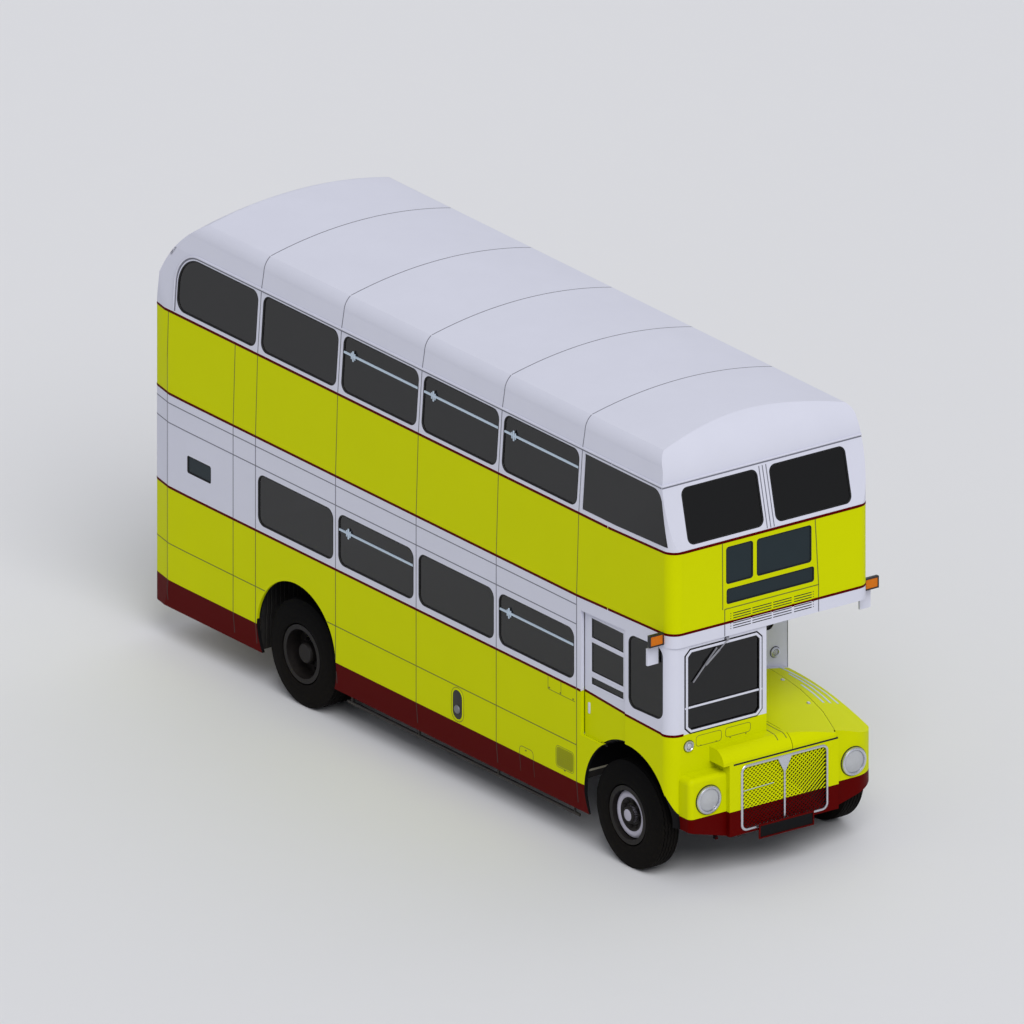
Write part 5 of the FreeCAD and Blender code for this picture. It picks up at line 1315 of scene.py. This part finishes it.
lattice = []
for lean, behind in ((1, 0.004), (-1, 0.008)):
    for foot in np.arange(-LATTICE_Y - 0.72, LATTICE_Y + 0.72, LATTICE_PITCH[0]):
        lattice += lattice_bar(foot, lean, grille_high[0] - behind, 0.004)
make("grille_lattice", lattice, paint, replaces=["radiator_grille"])
frame_low, frame_high = np.array([list(corner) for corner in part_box("grille_frame")])
frame_size = frame_high - frame_low
frame_at = (frame_low + frame_high) / 2
frame_at[0] = frame_low[0]
mouth = rounded(*(frame_size[1:] - 0.026), 0.058, 8)
SURROUND = mm((-13, 0), (12, 0), (12, 8), (7, 13), (-3, 15), (-10, 12), (-13, 6))
SHIELD = mm((-88, 0), (-60, -60), (-11, -158), (11, -158), (60, -60), (88, 0))
spine_at = (frame_low[0], 0.0, frame_at[2] - 0.07)
surround = [sweep(frame_at + mouth[:, :1] * Y + mouth[:, 1:] * Z, SURROUND, X, closed=True),
            plate(SHIELD + (0, frame_high[2] - 0.004), frame_low[0] * X, Y, Z, 0.0135, 0.004),
            slab(spine_at, "front", 0.020, frame_size[2] - 0.17, 0.0125, 0.004, 0.004)]
make("grille_surround", surround, silver, replaces=["grille_frame"])

# ---------------------------------------------------------------- platform, rear and driver's seat
pole_low, pole_high = np.array([list(corner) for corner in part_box("platform_pole")])
pole_at = (pole_low + pole_high) / 2
collar = mm((16, 0), (36, 0), (37, 6), (24, 12), (22, 40), (16.5, 42))
make("pole_collars", [revolve(collar, (*pole_at[:2], pole_low[2]), Z, 32),
                      revolve(collar, (*pole_at[:2], pole_high[2]), -Z, 32)], silver)
platform_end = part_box("rear_platform")[1]
edge_line = [(platform_end.x - back, platform_end.y - 0.024, pole_low[2]) for back in (1.25, 0.03)]
NOSING = mm((-12, -1), (20, -1), (20, 3), (-8, 4))
make("platform_nosing", [sweep(edge_line, NOSING, Z)], pale_metal)
hatch_low, hatch_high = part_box("emergency_window")
hatch_skin = skin_of("emergency_window")
grip_a, grip_b = cast(hatch_skin, *rear_rays([(y, hatch_low.z + 0.018) for y in (-0.09, 0.09)]))[0]
grip = tube([grip_a, grip_a - 0.022 * X, grip_b - 0.022 * X, grip_b], 0.006, up=Z)
make("emergency_window_handle", [grip], silver, "emergency_window")
hinge_points = cast(hatch_skin, *rear_rays([(y, hatch_high.z - 0.02) for y in (-0.42, 0.0, 0.42)]))[0]
hinges = [tube([p - 0.03 * Y - 0.004 * X, p + 0.03 * Y - 0.004 * X], 0.007, up=Z) for p in hinge_points]
make("emergency_window_hinges", hinges, silver, "emergency_window")
rear_seams = []
for y, low, high in ((-0.60, 2.36, BELT_HIGH_Z), (-1.02, PANEL_FOOT_Z, 2.45), (0.60, 2.36, BELT_HIGH_Z),
                     (1.02, PANEL_FOOT_Z, 2.45)):
    rear_seams += scored(coachwork_skin, rear_rays, [(y, low), (y, high)])
make("rear_joints", rear_seams, joint_and_shadow_paint)
pedestal_low, pedestal_high = min(boxes("driver_seat"), key=lambda pair: pair[0][2])
pedestal_size = pedestal_high - pedestal_low
foot_at = (pedestal_low + pedestal_high) / 2
foot_at[2] = pedestal_low[2]
rings = []
for share, rise in ((0.50, 0.0), (0.50, 0.03), (0.40, 0.06), (0.36, 0.5), (0.36, 0.8), (0.46, 0.94),
                    (0.46, 1.0)):
    outline = rounded(*(pedestal_size[:2] * 2 * share), 0.05) / 2
    rings.append(foot_at + outline[:, :1] * X + outline[:, 1:] * Y + pedestal_size[2] * rise * Z)
make("driver_pedestal", [surface(np.array(rings), wrap_columns=True, caps=True)], FINISHES["chassis black"],
     slot="black_plastic")


# ---------------------------------------------------------------- padded seats
PAD_GAP = 0.010         # the pads start this far inside their solids, and may swell by about as much
PAD_SWELL = 0.009
PAD_VOXEL = 0.014
PAD_FRAMES = 14
PAD_FLAT = 0.008        # what lies this near the underside is held


def shrunk(points):
    """Corners of a solid moved inwards by the gap, but not on its underside."""
    low = points.min(axis=0)
    high = points.max(axis=0)
    centre = (low + high) / 2
    half = np.maximum((high - low) / 2, 1e-6)
    drawn = centre + (points - centre) * (half - PAD_GAP) / half
    near = np.abs(points[:, 2] - low[2]) < 0.004
    drawn[near, 2] = points[near, 2]
    return drawn


def hull_object(points):
    """A loose object round a set of points."""
    work = bmesh.new()
    for point in points:
        work.verts.new(point)
    bmesh.ops.convex_hull(work, input=work.verts)
    loose = [v for v in work.verts if not v.link_faces]
    bmesh.ops.delete(work, geom=loose, context="VERTS")
    mesh = bpy.data.meshes.new("pad form")
    work.to_mesh(mesh)
    work.free()
    return added("pad form", mesh)


def evaluated_copy(form):
    """The mesh that an object's modifiers give, as a mesh of its own."""
    graph = bpy.context.evaluated_depsgraph_get()
    return bpy.data.meshes.new_from_object(form.evaluated_get(graph))


def pad(points):
    """A stuffed pad in the room of a solid: its remeshed form swelled by a cloth's inner pressure.

    Its underside is held flat, and no point goes further than PAD_SWELL from its start.
    """
    form = hull_object(shrunk(points))
    remesh = form.modifiers.new("remesh", "REMESH")
    remesh.mode = "VOXEL"
    remesh.voxel_size = PAD_VOXEL
    smooth = form.modifiers.new("smooth", "SMOOTH")
    smooth.iterations = 3
    smooth.factor = 0.5
    mesh = evaluated_copy(form)
    bpy.data.objects.remove(form)
    start = mesh_points(mesh)
    held = start[:, 2] - start[:, 2].min() < PAD_FLAT
    cushion = added("pad cloth", mesh)
    pins = cushion.vertex_groups.new(name="held")
    pins.add(np.where(held)[0].tolist(), 1.0, "REPLACE")
    cloth = cushion.modifiers.new("cloth", "CLOTH")
    cloth.settings.vertex_group_mass = "held"
    cloth.settings.use_pressure = True
    cloth.settings.uniform_pressure_force = 4.0
    cloth.settings.effector_weights.gravity = 0.0
    cloth.settings.quality = 4
    cloth.point_cache.frame_start = 1
    cloth.point_cache.frame_end = PAD_FRAMES
    for step in range(1, PAD_FRAMES + 1):
        bpy.context.scene.frame_set(step)
    swollen = evaluated_copy(cushion)
    moved = mesh_points(swollen)
    bpy.data.meshes.remove(swollen)
    bpy.data.objects.remove(cushion)
    bpy.context.scene.frame_set(1)
    way = moved - start
    far = np.linalg.norm(way, axis=1, keepdims=True)
    moved = start + way * np.minimum(1, PAD_SWELL / np.maximum(far, 1e-9))
    faces = [list(face.vertices) for face in mesh.polygons]
    return moved, faces


pad_store = {}


def pads_of(node, above=0.0):
    """A pad for each solid of a node from a height; those of one size share a form."""
    made = []
    for points in solids(node):
        low = points.min(axis=0)
        if low[2] < above:
            continue
        key = tuple(np.round(points.max(axis=0) - low, 3))
        if key not in pad_store:
            body, faces = pad(points)
            pad_store[key] = (body - low, faces)
        body, faces = pad_store[key]
        made.append((body + low, faces))
    return made


for name, node, material, above in (
    ("lower_seat_pads", "lower_seats", seat_cloth, 0.0), ("upper_seat_pads", "upper_seats", seat_cloth, 0.0),
    ("driver_seat_pads", "driver_seat", FINISHES["seat trim"], pedestal_high[2] - 0.01),
):
    pads = make(name, pads_of(node, above), material, smooth=60, replaces=[node])

# ---------------------------------------------------------------- tyres and wheels
TYRE_RADIUS = middle("front_tyre_right")[2]
TREAD_HALF = 0.092
TYRE_HALF = 0.126


def tyre(centre, outward):
    """A ribbed tyre: radius is a function of the place across it, less the grooves, whose lines zigzag
    to and fro round the wheel; the walls bulge as part of an ellipse and end in a bead at the rim."""
    across = []
    radius = []
    groove = []
    for k, rib in enumerate(np.linspace(-TREAD_HALF, TREAD_HALF, 6)[:-1]):
        width = TREAD_HALF * 2 / 5
        for part, deep in ((0.0, 0), (0.38, 0), (0.40, 1), (0.60, 1), (0.62, 0)):
            across.append(rib + width * part)
            radius.append(TYRE_RADIUS - 0.0035 * (across[-1] / TREAD_HALF) ** 2)
            groove.append(deep)
    across.append(TREAD_HALF)
    radius.append(TYRE_RADIUS - 0.0035)
    groove.append(0)
    wall = np.linspace(0, 1, 14)[1:]
    wall_out = TREAD_HALF + (TYRE_HALF - TREAD_HALF) * np.sin(np.minimum(wall * 2.2, 1.9))
    wall_radius = TYRE_RADIUS - 0.0035 - 0.012 * wall ** 0.5 - 0.212 * wall ** 1.25
    ridge = 0.003 * ((wall > 0.18) & (wall < 0.3)) + 0.004 * ((wall > 0.84) & (wall < 0.95))
    across = np.concatenate([-(wall_out[::-1] + ridge[::-1]), across, wall_out + ridge])
    radius = np.concatenate([wall_radius[::-1], radius, wall_radius])
    groove = np.concatenate([np.zeros(13), groove, np.zeros(13)])
    inner_across = np.array([TYRE_HALF * 0.72, 0.0, -TYRE_HALF * 0.72])
    across = np.concatenate([across, inner_across])
    radius = np.concatenate([radius, np.full(3, radius[0] - 0.004)])
    groove = np.concatenate([groove, np.zeros(3)])
    count = 192
    angle = np.linspace(0, 2 * math.pi, count, endpoint=False)
    zigzag = np.abs((np.arange(count) / 4) % 1 - 0.5) * 4 - 1
    swing = 0.0045 * np.clip((TREAD_HALF - np.abs(across)) / 0.02, 0, 1)
    y = across[None] + zigzag[:, None] * swing[None]
    r = radius[None] - 0.011 * groove[None]
    points = np.stack([centre[0] + r * np.cos(angle)[:, None], centre[1] + outward * y,
                       centre[2] + r * np.sin(angle)[:, None]], -1)
    return surface(points, wrap_rows=True, wrap_columns=True)


def nut(centre, outward, radius=0.017, height=0.022):
    """A hexagon nut with a rounded top and the end of its stud."""
    six = np.array([(radius, 0), (radius, height * 0.8), (radius * 0.8, height), (0.009, height),
                    (0.008, height + 0.012), (0, height + 0.012)])
    return revolve(six, centre, outward * Y, count=6)


def ring_of(part_at, count, radius, centre, first=0.0):
    """Copies of a part round a wheel: part_at gives the part at a place."""
    angle = first + np.arange(count) * 2 * math.pi / count
    return [part_at(centre + radius * (math.cos(a) * X + math.sin(a) * Z)) for a in angle]


TRIM = mm((163, 0), (163, 18), (170, 26), (190, 31), (212, 26), (232, 6), (232, 0))
CAP = mm((0, 64), (30, 63.5), (55, 61), (66, 55), (70, 42), (83, 36), (83, 0))
nut_finish = FINISHES["wheel paint"]
tyre_finish = FINISHES["tyre rubber"]
for side, sign in (("right", -1), ("left", 1)):
    centre = middle("front_tyre_" + side)
    body = "front_wheel_" + side
    out = sign * Y
    middle_line = centre * (1, 0, 1)
    make("tyre_front_" + side, [tyre(centre, sign)], tyre_finish, body, replaces=["front_tyre_" + side])
    hub = middle_line + out * 1.130
    make("wheel_trim_" + side, [revolve(TRIM, hub, out, 72)], FINISHES["wheel silver"], body)
    make("hub_cap_" + side, [revolve(CAP, hub, out, 48)], FINISHES["wheel silver"], body)
    nuts = ring_of(lambda at: nut(at, sign), 10, 0.125, middle_line + out * 1.128, 0.2)
    make("wheel_nuts_" + side, nuts, nut_finish, body)
    body = "rear_wheel_" + side
    pair = [tyre((low + high) / 2, sign) for low, high in boxes("rear_tyres_" + side)]
    make("tyres_rear_" + side, pair, tyre_finish, body, replaces=["rear_tyres_" + side])
    middle_line = middle("rear_tyres_" + side) * (1, 0, 1)
    nuts = ring_of(lambda at: nut(at, sign, 0.018, 0.024), 10, 0.142, middle_line + out * 1.026)
    make("rear_nuts_" + side, nuts, nut_finish, body)

# ---------------------------------------------------------------- camera, floor and light
CAMERA_AWAY = 40.0
camera_data = bpy.data.cameras.new("camera")
camera = added("camera", camera_data)
camera_data.type = "ORTHO"
camera_data.ortho_scale = 9.543
camera_data.clip_end = 200.0
azimuth = math.radians(53.7)
elevation = math.radians(21.27)
level = math.cos(elevation)
back = Vector((math.sin(azimuth) * level, -math.cos(azimuth) * level, math.sin(elevation)))
target = Vector((AXLE_X - 3.44, 0.0, 2.205))
camera.location = target + back * CAMERA_AWAY
camera.rotation_euler = back.to_track_quat("Z", "Y").to_euler()
bpy.context.scene.camera = camera

floor_reach = np.array((-90.0, 90.0))
points, faces = surface(np.stack(np.meshgrid(floor_reach, floor_reach, [0.0], indexing="ij"), -1)[:, :, 0])
floor_mesh = bpy.data.meshes.new("floor")
floor_mesh.from_pydata(points.tolist(), [], [face[::-1] for face in faces])
floor = added("floor", floor_mesh)
floor_mesh.materials.append(FINISHES["pale floor"])

world = bpy.data.worlds.new("soft studio")
bpy.context.scene.world = world
world.use_nodes = True
sky = world.node_tree.nodes["Background"].inputs
sky["Color"].default_value = (0.92, 0.94, 1.0, 1.0)
sky["Strength"].default_value = 0.47


def soft_lamp(name, direction, strength, spread):
    """A broad sun with soft edges to its shadows, shining from a direction."""
    data = bpy.data.lights.new(name, "SUN")
    data.energy = strength
    data.angle = math.radians(spread)
    added(name, data).rotation_euler = Vector(direction).to_track_quat("Z", "Y").to_euler()


soft_lamp("key", (0.75, -0.3, 0.85), 1.75, 40)
soft_lamp("fill", (-0.5, 0.8, 0.7), 0.4, 60)

bpy.context.scene.view_settings.view_transform = "Standard"
